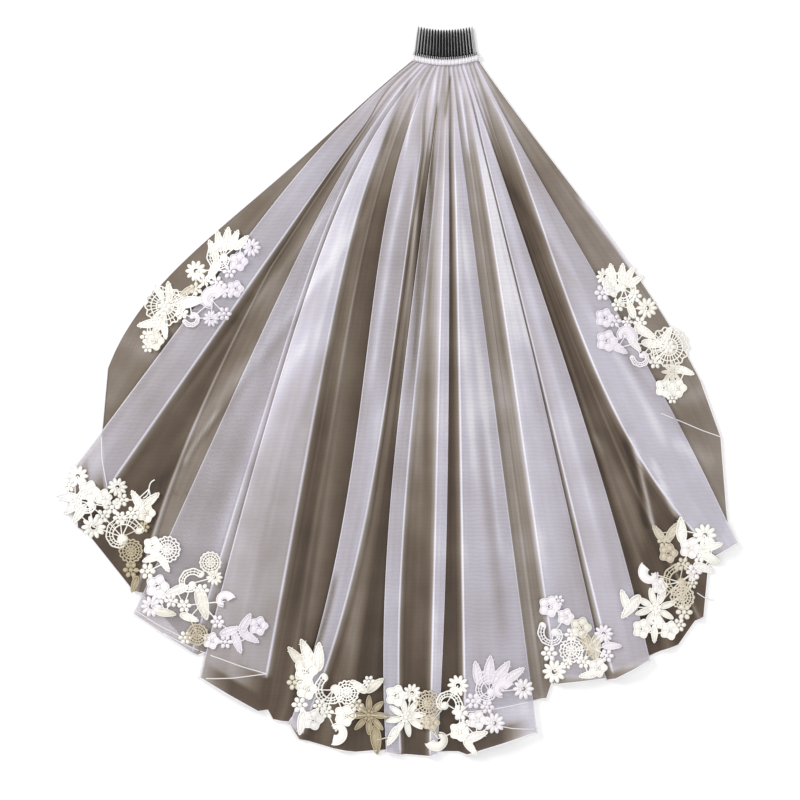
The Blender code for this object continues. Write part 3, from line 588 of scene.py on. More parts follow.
# Thread: its colour deepens in a noise and in painted shade from an attribute, its wraps are a bump
def threadMaterial(name, light, deep, roughness, scale, strength):
    material, tree, shader = newMaterial(name, roughness)
    coords = tree.nodes.new("ShaderNodeTexCoord")
    noise = noiseOn(tree, coords.outputs["Object"], scale, (1.0, 1.0, 1.0), 4.0)
    level = mathNode(tree, "ADD", attributeNode(tree, "depth"), swing(tree, noise, 0.5))
    ramp = rampNode(tree, [(0.0, light), (1.0, deep)])
    tree.links.new(level, ramp.inputs["Fac"])
    tree.links.new(ramp.outputs[0], shader.inputs["Base Color"])
    bumpFrom(tree, shader, noise, strength, 0.0005)
    return material


# Lace. Each figure is (kind, x, y, size, turn, tint), its place in pixels of an 800-pixel frame
# and its size in those pixels. tint 0 is lilac under the net, 0.5 ivory and 1 beige.
lace = {
    "pixel": 1.27, "centreX": 397.0, "centreY": 392.0,
    "cord": 0.85,           # half width of a lace cord
    "cordHeight": 0.95,
    "swell": 1.2,
    "clear": 0.35,          # how far the lace lies above the highest cloth under it
    "reach": 7.0,           # and how far round a point that cloth is looked for
    "brideReach": 17.0,     # figures closer than this, edge to edge, are tied by a bar
}

laceTables = {
    "upper_left": [
        ("leaf", 219, 241, 9, 100, 0.5), ("leaf", 227, 239, 10, 82, 0.5),
        ("leaf", 234, 240, 9, 66, 0.5), ("leaf", 242, 243, 8, 45, 0.5),
        ("leaf", 213, 250, 9, 112, 0.5), ("scroll", 222, 258, 15, 100, 0.45),
        ("leaf", 214, 270, 10, 240, 0.5), ("daisy", 196, 271, 9, 0, 0.5),
        ("tuft", 205, 281, 5, 0, 0.5), ("tuft", 196, 289, 6, 30, 0.62),
        ("leaf", 186, 292, 7, 215, 0.68), ("wheel", 165, 306, 17, 0, 0.55),
        ("leaf", 169, 291, 8, 95, 0.5), ("leaf", 159, 292, 7, 120, 0.5),
        ("tuft", 182, 313, 6, 10, 0.5), ("leaf", 190, 302, 13, 8, 0.42),
        ("comma", 213, 301, 14, 30, 0.12), ("tuft", 228, 291, 7, 0, 0.1),
        ("blossom", 236, 289, 7, 0, 0.06), ("tuft", 225, 314, 6, 0, 0.06),
        ("daisy", 212, 319, 7, 0, 0.08), ("blossom", 239, 262, 8, 0, 0.08),
        ("daisy", 252, 248, 8, 0, 0.04), ("tuft", 230, 272, 6, 0, 0.16),
        ("scroll", 193, 318, 9, 200, 0.28), ("leaf", 148, 324, 9, 190, 0.5),
        ("leaf", 158, 326, 9, 240, 0.55), ("tuft", 160, 318, 6, 0, 0.55),
        ("blossom", 155, 341, 8, 0, 0.62), ("tuft", 147, 337, 6, 0, 0.5),
        ("tuft", 148, 347, 5, 0, 0.5), ("leaf", 165, 331, 7, 280, 0.5),
        ("tuft", 217, 283, 6, 0, 0.3),
    ],
    "upper_right": [
        ("daisy", 605, 277, 8, 0, 0.5), ("leaf", 612, 273, 8, 100, 0.5),
        ("leaf", 622, 273, 8, 85, 0.5), ("leaf", 629, 275, 8, 60, 0.5),
        ("leaf", 635, 281, 8, 35, 0.5), ("scroll", 624, 289, 13, 250, 0.5),
        ("tuft", 602, 293, 7, 0, 0.2), ("blossom", 612, 289, 7, 0, 0.5),
        ("tuft", 635, 296, 6, 0, 0.5), ("daisy", 647, 308, 9, 0, 0.55),
        ("leaf", 631, 309, 8, 110, 0.5), ("tuft", 618, 305, 6, 0, 0.5),
        ("blossom", 604, 318, 8, 0, 0.1), ("tuft", 614, 321, 6, 0, 0.1),
        ("blossom", 606, 341, 9, 0, 0.08), ("comma", 624, 337, 12, 330, 0.2),
        ("leaf", 617, 348, 9, 330, 0.12), ("tuft", 640, 323, 6, 0, 0.5),
        ("leaf", 645, 332, 10, 330, 0.5), ("leaf", 634, 344, 8, 310, 0.4),
        ("wheel", 669, 347, 17, 0, 0.55), ("leaf", 667, 335, 8, 60, 0.5),
        ("scroll", 641, 357, 10, 180, 0.35), ("tuft", 655, 362, 6, 0, 0.5),
        ("leaf", 685, 371, 8, 340, 0.5), ("star", 672, 372, 9, 0, 0.62),
        ("blossom", 664, 388, 8, 0, 0.5), ("blossom", 677, 388, 8, 0, 0.55),
        ("tuft", 672, 398, 5, 0, 0.5), ("tuft", 627, 322, 5, 0, 0.4),
        ("leaf", 652, 344, 9, 350, 0.5),
    ],
    "lower_left": [
        ("daisy", 79, 476, 9, 0, 0.5), ("daisy", 118, 487, 8, 0, 0.5), ("tuft", 70, 485, 6, 0, 0.5),
        ("blossom", 90, 491, 9, 0, 0.5), ("leaf", 68, 497, 10, 180, 0.42),
        ("leaf", 73, 507, 10, 215, 0.42), ("leaf", 80, 514, 9, 235, 0.5),
        ("scroll", 90, 503, 14, 80, 0.5), ("blossom", 104, 497, 7, 0, 0.5),
        ("tuft", 112, 507, 7, 0, 0.5), ("tuft", 122, 500, 6, 0, 0.55),
        ("leaf", 137, 500, 9, 120, 0.5), ("leaf", 151, 500, 9, 40, 0.55),
        ("sprig", 149, 489, 9, 50, 0.5), ("blossom", 146, 513, 8, 0, 0.58),
        ("tuft", 133, 513, 6, 0, 0.5), ("daisy", 94, 527, 10, 0, 0.5),
        ("scroll", 122, 537, 20, 20, 0.58), ("tuft", 120, 518, 6, 0, 0.5),
        ("tuft", 103, 516, 6, 0, 0.5), ("wheel", 131, 551, 10, 0, 0.92),
        ("tuft", 131, 570, 7, 0, 0.95), ("tuft", 144, 527, 5, 0, 0.95),
        ("blossom", 153, 546, 8, 0, 0.5), ("wheel", 168, 549, 11, 0, 0.42),
        ("leaf", 152, 558, 8, 200, 0.5), ("leaf", 165, 563, 8, 300, 0.45),
        ("tuft", 148, 571, 7, 0, 0.55), ("leaf", 135, 584, 7, 250, 0.95),
    ],
    "inner_left": [
        ("wheel", 211, 562, 9, 0, 0.55), ("daisy", 215, 577, 7, 0, 0.55),
        ("blossom", 158, 586, 10, 0, 0.35), ("scroll", 192, 583, 14, 40, 0.5),
        ("leaf", 177, 590, 10, 200, 0.42), ("leaf", 203, 603, 14, 285, 0.55),
        ("tuft", 172, 600, 6, 0, 0.42), ("daisy", 152, 606, 9, 0, 0.25),
        ("leaf", 166, 612, 9, 350, 0.6), ("tuft", 185, 605, 6, 0, 0.5),
        ("leaf", 190, 617, 8, 340, 0.5), ("comma", 225, 601, 10, 20, 0.3),
        ("wheel", 198, 634, 9, 0, 0.85), ("tuft", 186, 637, 6, 0, 0.55),
        ("blossom", 212, 640, 7, 0, 0.25), ("tuft", 218, 621, 6, 0, 0.3),
        ("leaf", 231, 630, 9, 20, 0.12), ("leaf", 238, 642, 9, 290, 0.12),
        ("leaf", 246, 622, 9, 60, 0.1), ("leaf", 250, 636, 9, 330, 0.1),
        ("blossom", 259, 625, 8, 0, 0.08), ("tuft", 226, 641, 6, 0, 0.15),
        ("tuft", 203, 590, 6, 0, 0.5), ("tuft", 160, 597, 6, 0, 0.35),
    ],
    "bottom": [
        ("leaf", 296, 656, 10, 130, 0.6), ("leaf", 307, 652, 12, 115, 0.55),
        ("leaf", 319, 656, 12, 88, 0.5), ("blossom", 306, 670, 10, 0, 0.5),
        ("tuft", 295, 682, 7, 0, 0.7), ("blossom", 307, 688, 9, 0, 0.5),
        ("scroll", 333, 690, 17, 120, 0.5), ("tuft", 300, 704, 7, 0, 0.45),
        ("wheel", 347, 692, 10, 0, 0.5), ("leaf", 359, 686, 8, 140, 0.5),
        ("leaf", 375, 685, 9, 40, 0.6), ("tuft", 369, 681, 5, 0, 0.5),
        ("blossom", 313, 719, 9, 0, 0.45), ("leaf", 302, 722, 10, 260, 0.45),
        ("tuft", 327, 712, 6, 0, 0.5), ("blossom", 345, 715, 9, 0, 0.5),
        ("star", 369, 715, 17, 0, 0.95), ("leaf", 376, 740, 12, 275, 0.95),
        ("comma", 336, 731, 12, 250, 0.5), ("tuft", 357, 705, 6, 0, 0.6),
        ("blossom", 396, 695, 9, 0, 0.5), ("daisy", 412, 693, 8, 0, 0.5),
        ("star", 406, 717, 17, 10, 0.5), ("leaf", 393, 735, 9, 240, 0.5),
        ("wheel", 428, 703, 11, 0, 0.8), ("tuft", 424, 722, 6, 0, 0.7),
        ("scroll", 446, 704, 15, 320, 0.5), ("comma", 438, 738, 12, 200, 0.55),
        ("daisy", 458, 685, 9, 0, 0.5), ("blossom", 431, 722, 7, 0, 0.8),
        ("tuft", 460, 712, 7, 0, 0.4), ("leaf", 477, 672, 10, 100, 0.15),
        ("leaf", 489, 669, 12, 85, 0.15), ("leaf", 501, 672, 12, 55, 0.2),
        ("leaf", 514, 674, 10, 35, 0.25), ("scroll", 489, 690, 15, 60, 0.15),
        ("comma", 502, 690, 11, 30, 0.2), ("daisy", 523, 688, 9, 0, 0.3),
        ("tuft", 473, 700, 7, 0, 0.15), ("tuft", 487, 706, 6, 0, 0.15),
        ("daisy", 494, 722, 9, 0, 0.3), ("blossom", 477, 719, 8, 0, 0.35),
        ("blossom", 459, 731, 8, 0, 0.5), ("leaf", 476, 735, 10, 20, 0.45),
        ("leaf", 470, 746, 8, 310, 0.5), ("tuft", 465, 724, 5, 0, 0.4),
        ("tuft", 320, 705, 6, 0, 0.5),
    ],
    "inner_right": [
        ("blossom", 549, 606, 9, 0, 0.25), ("tuft", 558, 600, 5, 0, 0.2),
        ("blossom", 565, 616, 7, 0, 0.25), ("scroll", 553, 633, 14, 140, 0.35),
        ("blossom", 580, 627, 9, 0, 0.62), ("tuft", 571, 634, 6, 0, 0.4),
        ("daisy", 603, 633, 8, 0, 0.2), ("leaf", 588, 645, 11, 290, 0.75),
        ("leaf", 595, 648, 11, 270, 0.68), ("wheel", 571, 650, 10, 0, 0.45),
        ("daisy", 554, 671, 10, 0, 0.5), ("tuft", 549, 653, 7, 0, 0.4),
        ("tuft", 583, 661, 6, 0, 0.5), ("blossom", 597, 667, 8, 0, 0.45),
        ("leaf", 611, 645, 8, 0, 0.2), ("tuft", 606, 655, 6, 0, 0.25),
        ("tuft", 566, 663, 5, 0, 0.45), ("leaf", 588, 674, 8, 190, 0.5),
    ],
    "lower_right": [
        ("leaf", 658, 533, 8, 125, 0.72), ("leaf", 672, 532, 9, 60, 0.72),
        ("tuft", 664, 541, 6, 0, 0.75), ("blossom", 668, 553, 8, 0, 0.78),
        ("leaf", 681, 530, 11, 95, 0.5), ("daisy", 704, 535, 10, 0, 0.5),
        ("blossom", 690, 548, 9, 0, 0.42), ("leaf", 711, 546, 9, 15, 0.5),
        ("leaf", 710, 558, 10, 330, 0.5), ("leaf", 704, 568, 9, 340, 0.45),
        ("tuft", 699, 556, 6, 0, 0.45), ("comma", 651, 573, 12, 130, 0.42),
        ("scroll", 679, 582, 16, 100, 0.8), ("tuft", 683, 564, 6, 0, 0.7),
        ("wheel", 682, 597, 10, 0, 0.72), ("blossom", 659, 586, 7, 0, 0.4),
        ("star", 655, 608, 18, 15, 0.5), ("leaf", 630, 606, 12, 230, 0.48),
        ("leaf", 624, 599, 9, 110, 0.48), ("tuft", 684, 612, 7, 0, 0.62),
        ("blossom", 641, 628, 8, 0, 0.5), ("blossom", 669, 630, 8, 0, 0.5),
        ("leaf", 654, 634, 7, 270, 0.5), ("tuft", 679, 625, 6, 0, 0.55),
        ("tuft", 694, 572, 7, 0, 0.3), ("tuft", 656, 622, 6, 0, 0.5), ("tuft", 692, 583, 5, 0, 0.6),
    ],
}


# Points of raised lace: x and y in mm, height above the lace's base, tint and painted shading
class LaceShape:
    def __init__(self):
        self.points, self.tints, self.depths, self.faces = [], [], [], []
        self.size = 0

    def add(self, points, faces, tint, depth):
        self.points.append(points)
        self.tints.append(np.full(len(points), tint))
        self.depths.append(depth)
        self.faces.append(faces + self.size)
        self.size += len(points)

    # One object of all that was added
    def piece(self, name, material, tinted=False):
        values = {"depth": np.concatenate(self.depths)}
        if tinted:
            values["tint"] = np.concatenate(self.tints)
        points, faces = np.concatenate(self.points), np.concatenate(self.faces)
        return meshPiece(name, points, faces, material, values)

    # A rounded band along a path: height * sqrt(1 - u^2) across its width, u from -1 to 1
    def band(self, path, half, height, tint, closed=False, low=0.0, depth=0.0):
        path = np.asarray(path, float)
        run = np.roll(path, -1, 0) - np.roll(path, 1, 0)
        if not closed:
            run[0], run[-1] = path[1] - path[0], path[-1] - path[-2]
        length = np.maximum(1e-6, np.linalg.norm(run, axis=1, keepdims=True))
        side = np.stack([-run[:, 1], run[:, 0]], axis=1) / length
        u = np.array([-1.0, -0.72, 0.0, 0.72, 1.0])
        half = np.broadcast_to(np.asarray(half, float), len(path))
        height = np.broadcast_to(np.asarray(height, float), len(path))
        flat = path[:, None, :] + side[:, None, :] * (half[:, None] * u)[:, :, None]
        rise = low + height[:, None] * np.sqrt(1.0 - u * u)
        rise[:, (0, -1)] = 0.0
        points = np.concatenate([flat, rise[:, :, None]], axis=2).reshape(-1, 3)
        count, wide = len(path), len(u)
        last = count if closed else count - 1
        r, c = np.meshgrid(np.arange(last), np.arange(wide - 1), indexing="ij")
        a = (r * wide + c).ravel()
        b = (((r + 1) % count) * wide + c).ravel()
        # Painted shade, growing towards both feet of the band.
        shade = np.tile(0.55 * np.abs(u) ** 2, count) + depth
        self.add(points, np.stack([a, b, b + 1, a + 1], axis=1), tint, shade)

    # A dome on a closed outline: low + height * (1 - s^2), s the share from centre to edge
    def dome(self, outline, height, tint, low=0.0, depth=0.0):
        outline = np.asarray(outline, float)
        count = len(outline)
        centre = outline.mean(axis=0)
        rings = []
        for s, rise in ((1.0, 0.0), (0.97, low + 0.1 * height), (0.6, low + 0.64 * height),
                        (0.03, low + height)):
            flat = centre + (outline - centre) * s
            rings.append(np.column_stack([flat, np.full(count, rise)]))
        points = np.concatenate(rings)
        k = np.arange(count)
        faces = []
        for ring in range(3):
            a, b = ring * count + k, ring * count + (k + 1) % count
            faces.append(np.stack([a, b, b + count, a + count], axis=1))
        # Painted shade, deepest at the dome's rim and none at its crown.
        shade = np.repeat([0.75, 0.6, 0.2, 0.0], count) + depth
        self.add(points, np.concatenate(faces), tint, shade)


# Place in mm, size in mm and turn in radians of one row of a lace table
def place(figure):
    kind, x, y, size, turn, tint = figure
    centre = np.array([(x - lace["centreX"]) * lace["pixel"], (lace["centreY"] - y) * lace["pixel"]])
    return centre, size * lace["pixel"] * lace["swell"], math.radians(turn), tint


# Points turned about the origin, then moved to centre
def turned(flat, centre, turn):
    cos, sin = math.cos(turn), math.sin(turn)
    return np.asarray(flat, float) @ np.array([[cos, sin], [-sin, cos]]) + centre


# radius * (1 + wave * cos(lobes * angle)) round a full turn
def circle(radius, count, wave=0.0, lobes=0):
    angle = np.linspace(0.0, 2.0 * math.pi, count, endpoint=False)
    swell = radius * (1.0 + wave * np.cos(lobes * angle))
    return np.column_stack([swell * np.cos(angle), swell * np.sin(angle)])


# An ellipse of half length and half width, with its +X end drawn out by sharp
def oval(length, width, count, sharp=0.0):
    angle = np.linspace(0.0, 2.0 * math.pi, count, endpoint=False)
    pinch = 1.0 - sharp * (0.5 + 0.5 * np.cos(angle)) ** 2
    return np.column_stack([length * np.cos(angle), width * np.sin(angle) * pinch])


# Domed petals round a centre, from radius inner to outer
def addPetals(shape, centre, turn, count, inner, outer, width, height, tint, sharp=0.0):
    middle = (inner + outer) / 2.0
    for k in range(count):
        angle = turn + 2.0 * math.pi * k / count
        petal = oval((outer - inner) / 2.0, width, 10, sharp) + np.array([middle, 0.0])
        shape.dome(turned(petal, centre, angle), height, tint)


def addDaisy(shape, centre, size, turn, tint):
    addPetals(shape, centre, turn, 10, size * 0.26, size, size * 0.2, 1.5, tint)
    shape.band(turned(circle(size * 0.27, 12), centre, 0.0), 0.8, 1.3, tint, closed=True)


# Five broad petals with a corded edge, and a ring round the eye
def addBlossom(shape, centre, size, turn, tint):
    addPetals(shape, centre, turn, 5, size * 0.2, size * 0.96, size * 0.42, 1.1, tint)
    rim = turned(circle(size * 0.88, 40, 0.14, 5), centre, turn)
    shape.band(rim, lace["cord"], lace["cordHeight"] + 0.5, tint, closed=True)
    shape.band(turned(circle(size * 0.2, 10), centre, 0.0), 0.8, 1.8, tint, closed=True)


# A round of open work: scalloped rim, two rings joined by spokes, and a boss
def addWheel(shape, centre, size, turn, tint):
    shape.band(turned(circle(size * 0.93, 72, 0.06, 14), centre, turn), 1.1, 1.5, tint, closed=True)
    for share in (0.68, 0.42):
        shape.band(turned(circle(size * share, 36), centre, 0.0), 0.9, 1.5, tint, closed=True)
    spokes = max(8, int(round(size * 1.0)))
    for k in range(spokes):
        angle = turn + 2.0 * math.pi * k / spokes
        ray = np.array([[math.cos(angle), math.sin(angle)]])
        shape.band(centre + ray * np.linspace(size * 0.3, size * 0.9, 4)[:, None], 0.75, 1.0, tint)
    addPetals(shape, centre, turn, 6, size * 0.06, size * 0.36, size * 0.13, 1.9, tint)
    shape.dome(turned(circle(size * 0.12, 8), centre, 0.0), 2.2, tint)


# A pointed leaf: sunken blade, corded edge, midrib and slanting veins
def addLeaf(shape, centre, size, turn, tint):
    width = size * 0.4
    edge = oval(size, width, 22, 0.55)
    shape.dome(turned(edge * 0.96, centre, turn), 0.7, tint, depth=0.12)
    shape.band(turned(edge, centre, turn), lace["cord"], lace["cordHeight"] + 0.5, tint, closed=True)
    rib = np.column_stack([np.linspace(-size * 0.92, size * 0.8, 6), np.zeros(6)])
    shape.band(turned(rib, centre, turn), lace["cord"] * 0.9, 1.6, tint)
    for k in range(4):
        along = size * (-0.62 + 0.36 * k)
        for side in (-1.0, 1.0):
            vein = [(along, 0.0), (along + size * 0.16, side * width * 0.4),
                    (along + size * 0.3, side * width * 0.72)]
            shape.band(turned(vein, centre, turn), 0.5, 1.2, tint)


# Radius falls from size to size * shrink as the angle sweeps round
def spiral(size, start, sweep, shrink, count):
    t = np.linspace(0.0, 1.0, count)
    radius = size * (1.0 - (1.0 - shrink) * t**1.2)
    angle = start + sweep * t
    return np.column_stack([radius * np.cos(angle), radius * np.sin(angle)]), t


# A crescent that curls in: outer, middle and inner cords with two rows of holes between
def addScroll(shape, centre, size, turn, tint):
    outer, t = spiral(size * 0.94, 0.0, 4.6, 0.42, 46)
    middle, _ = spiral(size * 0.78, 0.0, 4.6, 0.34, 46)
    inner, _ = spiral(size * 0.6, 0.0, 4.6, 0.3, 46)
    outer *= (1.0 + 0.025 * np.cos(t * 4.6 * 9.0))[:, None]
    for path, half in ((outer, 1.05), (middle, 0.75), (inner, 1.0)):
        shape.band(turned(path, centre, turn), half, 1.6, tint)
    for k in range(0, 46, 3):
        shape.band(turned([outer[k], middle[k], inner[k]], centre, turn), 0.5, 1.0, tint)
    shape.dome(turned(circle(size * 0.24, 12) + inner[-1] * 0.6, centre, turn), 1.7, tint)
    shape.dome(turned(oval(size * 0.22, size * 0.15, 10) + (outer[0] + inner[0]) / 2.0, centre, turn),
               1.4, tint)


# A full, smooth crescent that ends in a curl, with cords along it
def addComma(shape, centre, size, turn, tint):
    path, t = spiral(size * 0.62, 0.0, 4.2, 0.35, 30)
    half = size * 0.36 * (1.0 - 0.72 * t**1.4)
    shape.band(turned(path, centre, turn), half, 1.5, tint)
    edge, _ = spiral(size * 0.96, 0.0, 4.2, 0.45, 40)
    shape.band(turned(edge, centre, turn), 0.8, 1.5, tint)
    for share in (0.5, 0.72):
        ridge, _ = spiral(size * share, 0.1, 3.9, 0.35, 30)
        shape.band(turned(ridge, centre, turn), 0.5, 0.7, tint, low=1.1)


# Eight long pointed petals, each with a corded edge, and knots round the middle
def addStar(shape, centre, size, turn, tint):
    for k in range(8):
        angle = turn + 2.0 * math.pi * k / 8
        petal = oval(size * 0.37, size * 0.15, 16, 0.4) + np.array([size * 0.6, 0.0])
        shape.dome(turned(petal, centre, angle), 0.9, tint, depth=0.15)
        shape.band(turned(petal, centre, angle), 0.7, 1.7, tint, closed=True)
    addPetals(shape, centre, turn, 8, size * 0.1, size * 0.3, size * 0.09, 2.2, tint)
    shape.dome(turned(circle(size * 0.12, 10), centre, 0.0), 2.6, tint)


# A small cluster of round knots on a net of bars
def addTuft(shape, centre, size, turn, tint):
    addPetals(shape, centre, turn, 6, size * 0.3, size, size * 0.3, 1.3, tint)
    shape.dome(turned(circle(size * 0.3, 8), centre, 0.0), 1.8, tint)


def addSprig(shape, centre, size, turn, tint):
    t = np.linspace(-1.0, 1.0, 12)
    path = np.column_stack([t * size, size * 0.25 * np.sin(t * 2.6)])
    shape.band(turned(path, centre, turn), 0.8, 1.5, tint)


figureMakers = {
    "daisy": addDaisy, "blossom": addBlossom, "wheel": addWheel, "leaf": addLeaf,
    "scroll": addScroll, "comma": addComma, "star": addStar, "tuft": addTuft, "sprig": addSprig,
}


# Twisted bars that tie near figures to each other
def addBrides(shape, figures):
    places = [place(figure) for figure in figures]
    for i, (a, sizeA, _, tintA) in enumerate(places):
        for b, sizeB, _, tintB in places[i + 1:]:
            run = b - a
            length = np.linalg.norm(run)
            if length - 0.8 * (sizeA + sizeB) < lace["brideReach"] * 0.35:
                path = a + run * np.linspace(0.0, 1.0, 6)[:, None]
                shape.band(path, 0.85, 1.0, (tintA + tintB) / 2.0, depth=0.1)


# Height of the cloth at a place, or missing where there is none
def clothHeight(tree, x, y, missing):
    hit = tree.ray_cast(Vector((x, y, 90.0)), Vector((0.0, 0.0, -1.0)))[0]
    return missing if hit is None else hit.z


# Heights of the net on an even grid, each the highest in reach, then smoothed
def raisedCloth(tree, low, high, step=3.0):
    xs = np.arange(low[0], high[0], step)
    ys = np.arange(low[1], high[1], step)
    heights = np.array([[clothHeight(tree, x, y, 0.0) for y in ys] for x in xs])
    cells = int(math.ceil(lace["reach"] / step))
    shifts = [(i, j) for i in range(-cells, cells + 1) for j in range(-cells, cells + 1)
              if math.hypot(i, j) <= cells + 0.3]
    spread = np.max([np.roll(heights, shift, (0, 1)) for shift in shifts], axis=0)
    near = [shift for shift in shifts if math.hypot(*shift) <= cells / 2.0 + 0.3]
    return xs, ys, np.mean([np.roll(spread, shift, (0, 1)) for shift in near], axis=0)


# Bilinear heights of a raised grid at many places
def heightAtPlaces(field, x, y):
    xs, ys, heights = field
    u = np.clip((x - xs[0]) / (xs[1] - xs[0]), 0.0, len(xs) - 1.001)
    v = np.clip((y - ys[0]) / (ys[1] - ys[0]), 0.0, len(ys) - 1.001)
    i, j = u.astype(int), v.astype(int)
    u, v = u - i, v - j
    return ((heights[i, j] * (1 - u) + heights[i + 1, j] * u) * (1 - v)
            + (heights[i, j + 1] * (1 - u) + heights[i + 1, j + 1] * u) * v)


def makeLace(name, figures, tree, material):
    shape = LaceShape()
    addBrides(shape, figures)
    for figure in figures:
        figureMakers[figure[0]](shape, *place(figure))
    points = np.concatenate(shape.points)
    low = points[:, :2].min(axis=0) - 18.0
    high = points[:, :2].max(axis=0) + 18.0
    field = raisedCloth(tree, low, high)
    points[:, 2] += heightAtPlaces(field, points[:, 0], points[:, 1]) + lace["clear"]
    shape.points = [points]
    piece = shape.piece("lace_" + name + "_work", material, tinted=True)
    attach(piece, "root")
    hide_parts("lace_" + name)
    return piece


# Cotton thread: ivory, lilac under the net and beige in shade, with painted shade between the cords
# and round the feet of raised parts, where the light colours pass into the deep ones.
def laceMaterial():
    material, tree, shader = newMaterial("laceThread", 0.86)
    coords = tree.nodes.new("ShaderNodeTexCoord")
    tint = attributeNode(tree, "tint")
    light = rampNode(tree, [(0.0, (230, 224, 233)), (0.35, (242, 238, 241)), (0.5, (252, 251, 247)),
                            (0.75, (216, 206, 188)), (1.0, (182, 168, 136))])
    deep = rampNode(tree, [(0.0, (206, 198, 210)), (0.35, (208, 202, 200)), (0.5, (210, 204, 188)),
                           (0.75, (150, 136, 108)), (1.0, (106, 90, 58))])
    for ramp in (light, deep):
        tree.links.new(tint, ramp.inputs["Fac"])
    thread = noiseOn(tree, coords.outputs["Object"], 700.0, (1.0, 1.0, 1.0), 2.0)
    soft = noiseOn(tree, coords.outputs["Object"], 60.0, (1.0, 1.0, 1.0), 3.0)
    level = mathNode(tree, "ADD", attributeNode(tree, "depth"), swing(tree, soft, 0.5))
    clamp = tree.nodes.new("ShaderNodeClamp")
    tree.links.new(level, clamp.inputs["Value"])
    mix = tree.nodes.new("ShaderNodeMix")
    mix.data_type = "RGBA"
    tree.links.new(clamp.outputs[0], mix.inputs["Factor"])
    tree.links.new(light.outputs[0], mix.inputs["A"])
    tree.links.new(deep.outputs[0], mix.inputs["B"])
    tree.links.new(mix.outputs["Result"], shader.inputs["Base Color"])
    bumpFrom(tree, shader, thread, 0.5, 0.0004)
    shader.inputs["Sheen Weight"].default_value = 0.2
    return material


# A tube: centre + first * cos + second * sin, one ring of points for each centre
def ringTube(centres, first, second, sides):
    angle = np.linspace(0.0, 2.0 * math.pi, sides, endpoint=False)
    points = (centres[:, None, :] + first[:, None, :] * np.cos(angle)[None, :, None]
              + second[:, None, :] * np.sin(angle)[None, :, None]).reshape(-1, 3)
    r, c = np.meshgrid(np.arange(len(centres) - 1), np.arange(sides), indexing="ij")
    a = (r * sides + c).ravel()
    b = (r * sides + (c + 1) % sides).ravel()
    return points, np.stack([a, b, b + sides, a + sides], axis=1)


def unit(vectors):
    return vectors / np.maximum(1e-9, np.linalg.norm(vectors, axis=1, keepdims=True))


# Radii of the rolled hem at the sides, along the lower edge and where it shows through the net.
hemCord = {"side": 0.6, "edge": 0.95, "through": 0.7, "sides": 7}

# Hems of folded layers that show through the net above them, as places in mm along each.
hemLines = [
    ((-375, -48), (-373, -85), (-370, -105), (-367, -122)),
    ((-250, -329), (-223, -338), (-192, -349), (-165, -357)),
    ((-254, -363), (-230, -363), (-206, -362), (-165, -357)),
    ((-335, -283), (-306, -300), (-278, -315), (-252, -328)),
    ((-331, -277), (-304, -294), (-277, -308), (-252, -322)),
    ((84, -406), (110, -403), (131, -400), (178, -391)),
    ((131, -423), (146, -426), (162, -427), (178, -427)),
    ((190, -356), (201, -370), (220, -369), (245, -366)),
    ((334, -27), (362, -38), (388, -49), (411, -57)),
    ((416, -163), (422, -171), (427, -181), (432, -192)),
    ((381, -255), (390, -261), (398, -264), (402, -264)),
]


# One of those hems as a cord that lies on the net
def hemLineTube(path, tree, radius):
    stops = np.array(path, float)
    t = np.linspace(0.0, 3.0, 26)
    flat = np.column_stack([np.interp(t, np.arange(4), stops[:, 0]),
                            np.interp(t, np.arange(4), stops[:, 1])])
    lifted = np.array([clothHeight(tree, x, y, veil["lift"]) for x, y in flat])
    lifted = np.convolve(np.pad(lifted, 2, mode="edge"), np.ones(5) / 5.0, mode="valid")
    centres = np.column_stack([flat, lifted + radius * 0.6])
    tangent = unit(np.gradient(centres, axis=0))
    side = unit(np.cross(np.array([[0.0, 0.0, 1.0]]), tangent))
    return ringTube(centres, side * radius, np.cross(tangent, side) * radius, 6)


# The rolled hem: a cord along both side edges and the hem, in the net's own surface
def makeHem(points, tree, material):
    left, hem, right = points[3:-1, 0], points[-1], points[3:-1, -1][::-1]
    path = np.concatenate([left, hem, right])
    outward = np.concatenate([left - points[3:-1, 1], hem - points[-2],
                              right - points[3:-1, -2][::-1]])
    radius = np.concatenate([np.full(len(left), hemCord["side"]), np.full(len(hem), hemCord["edge"]),
                             np.full(len(right), hemCord["side"])])[:, None]
    tangent = unit(np.gradient(path, axis=0))
    outward = unit(outward - tangent * np.sum(outward * tangent, axis=1, keepdims=True))
    normal = np.cross(tangent, outward)
    centres = path + outward * radius * 0.6
    centres[:, 2] = np.maximum(centres[:, 2], radius[:, 0])
    shape = LaceShape()
    sides = hemCord["sides"]
    tube, faces = ringTube(centres, outward * radius, normal * radius, sides)
    # Painted shade, darker round one side of the cord.
    shape.add(tube, faces, 0.0, np.tile(np.linspace(0.0, 0.2, sides), len(path)))
    for line in hemLines:
        tube, faces = hemLineTube(line, tree, hemCord["through"])
        shape.add(tube, faces, 0.0, np.full(len(tube), 0.25))
    return shape.piece("hemRoll", material)


comb = {
    "teeth": 20, "halfWidth": 40.0, "tipHalfWidth": 35.5, "base": 7.6, "root": 10.6, "length": 35.0,
    "toothHalf": 1.5, "endToothHalf": 1.05, "thick": 1.25, "middle": 1.8,
    "spineHalf": 1.7, "spineRings": 41, "sides": 10,
}


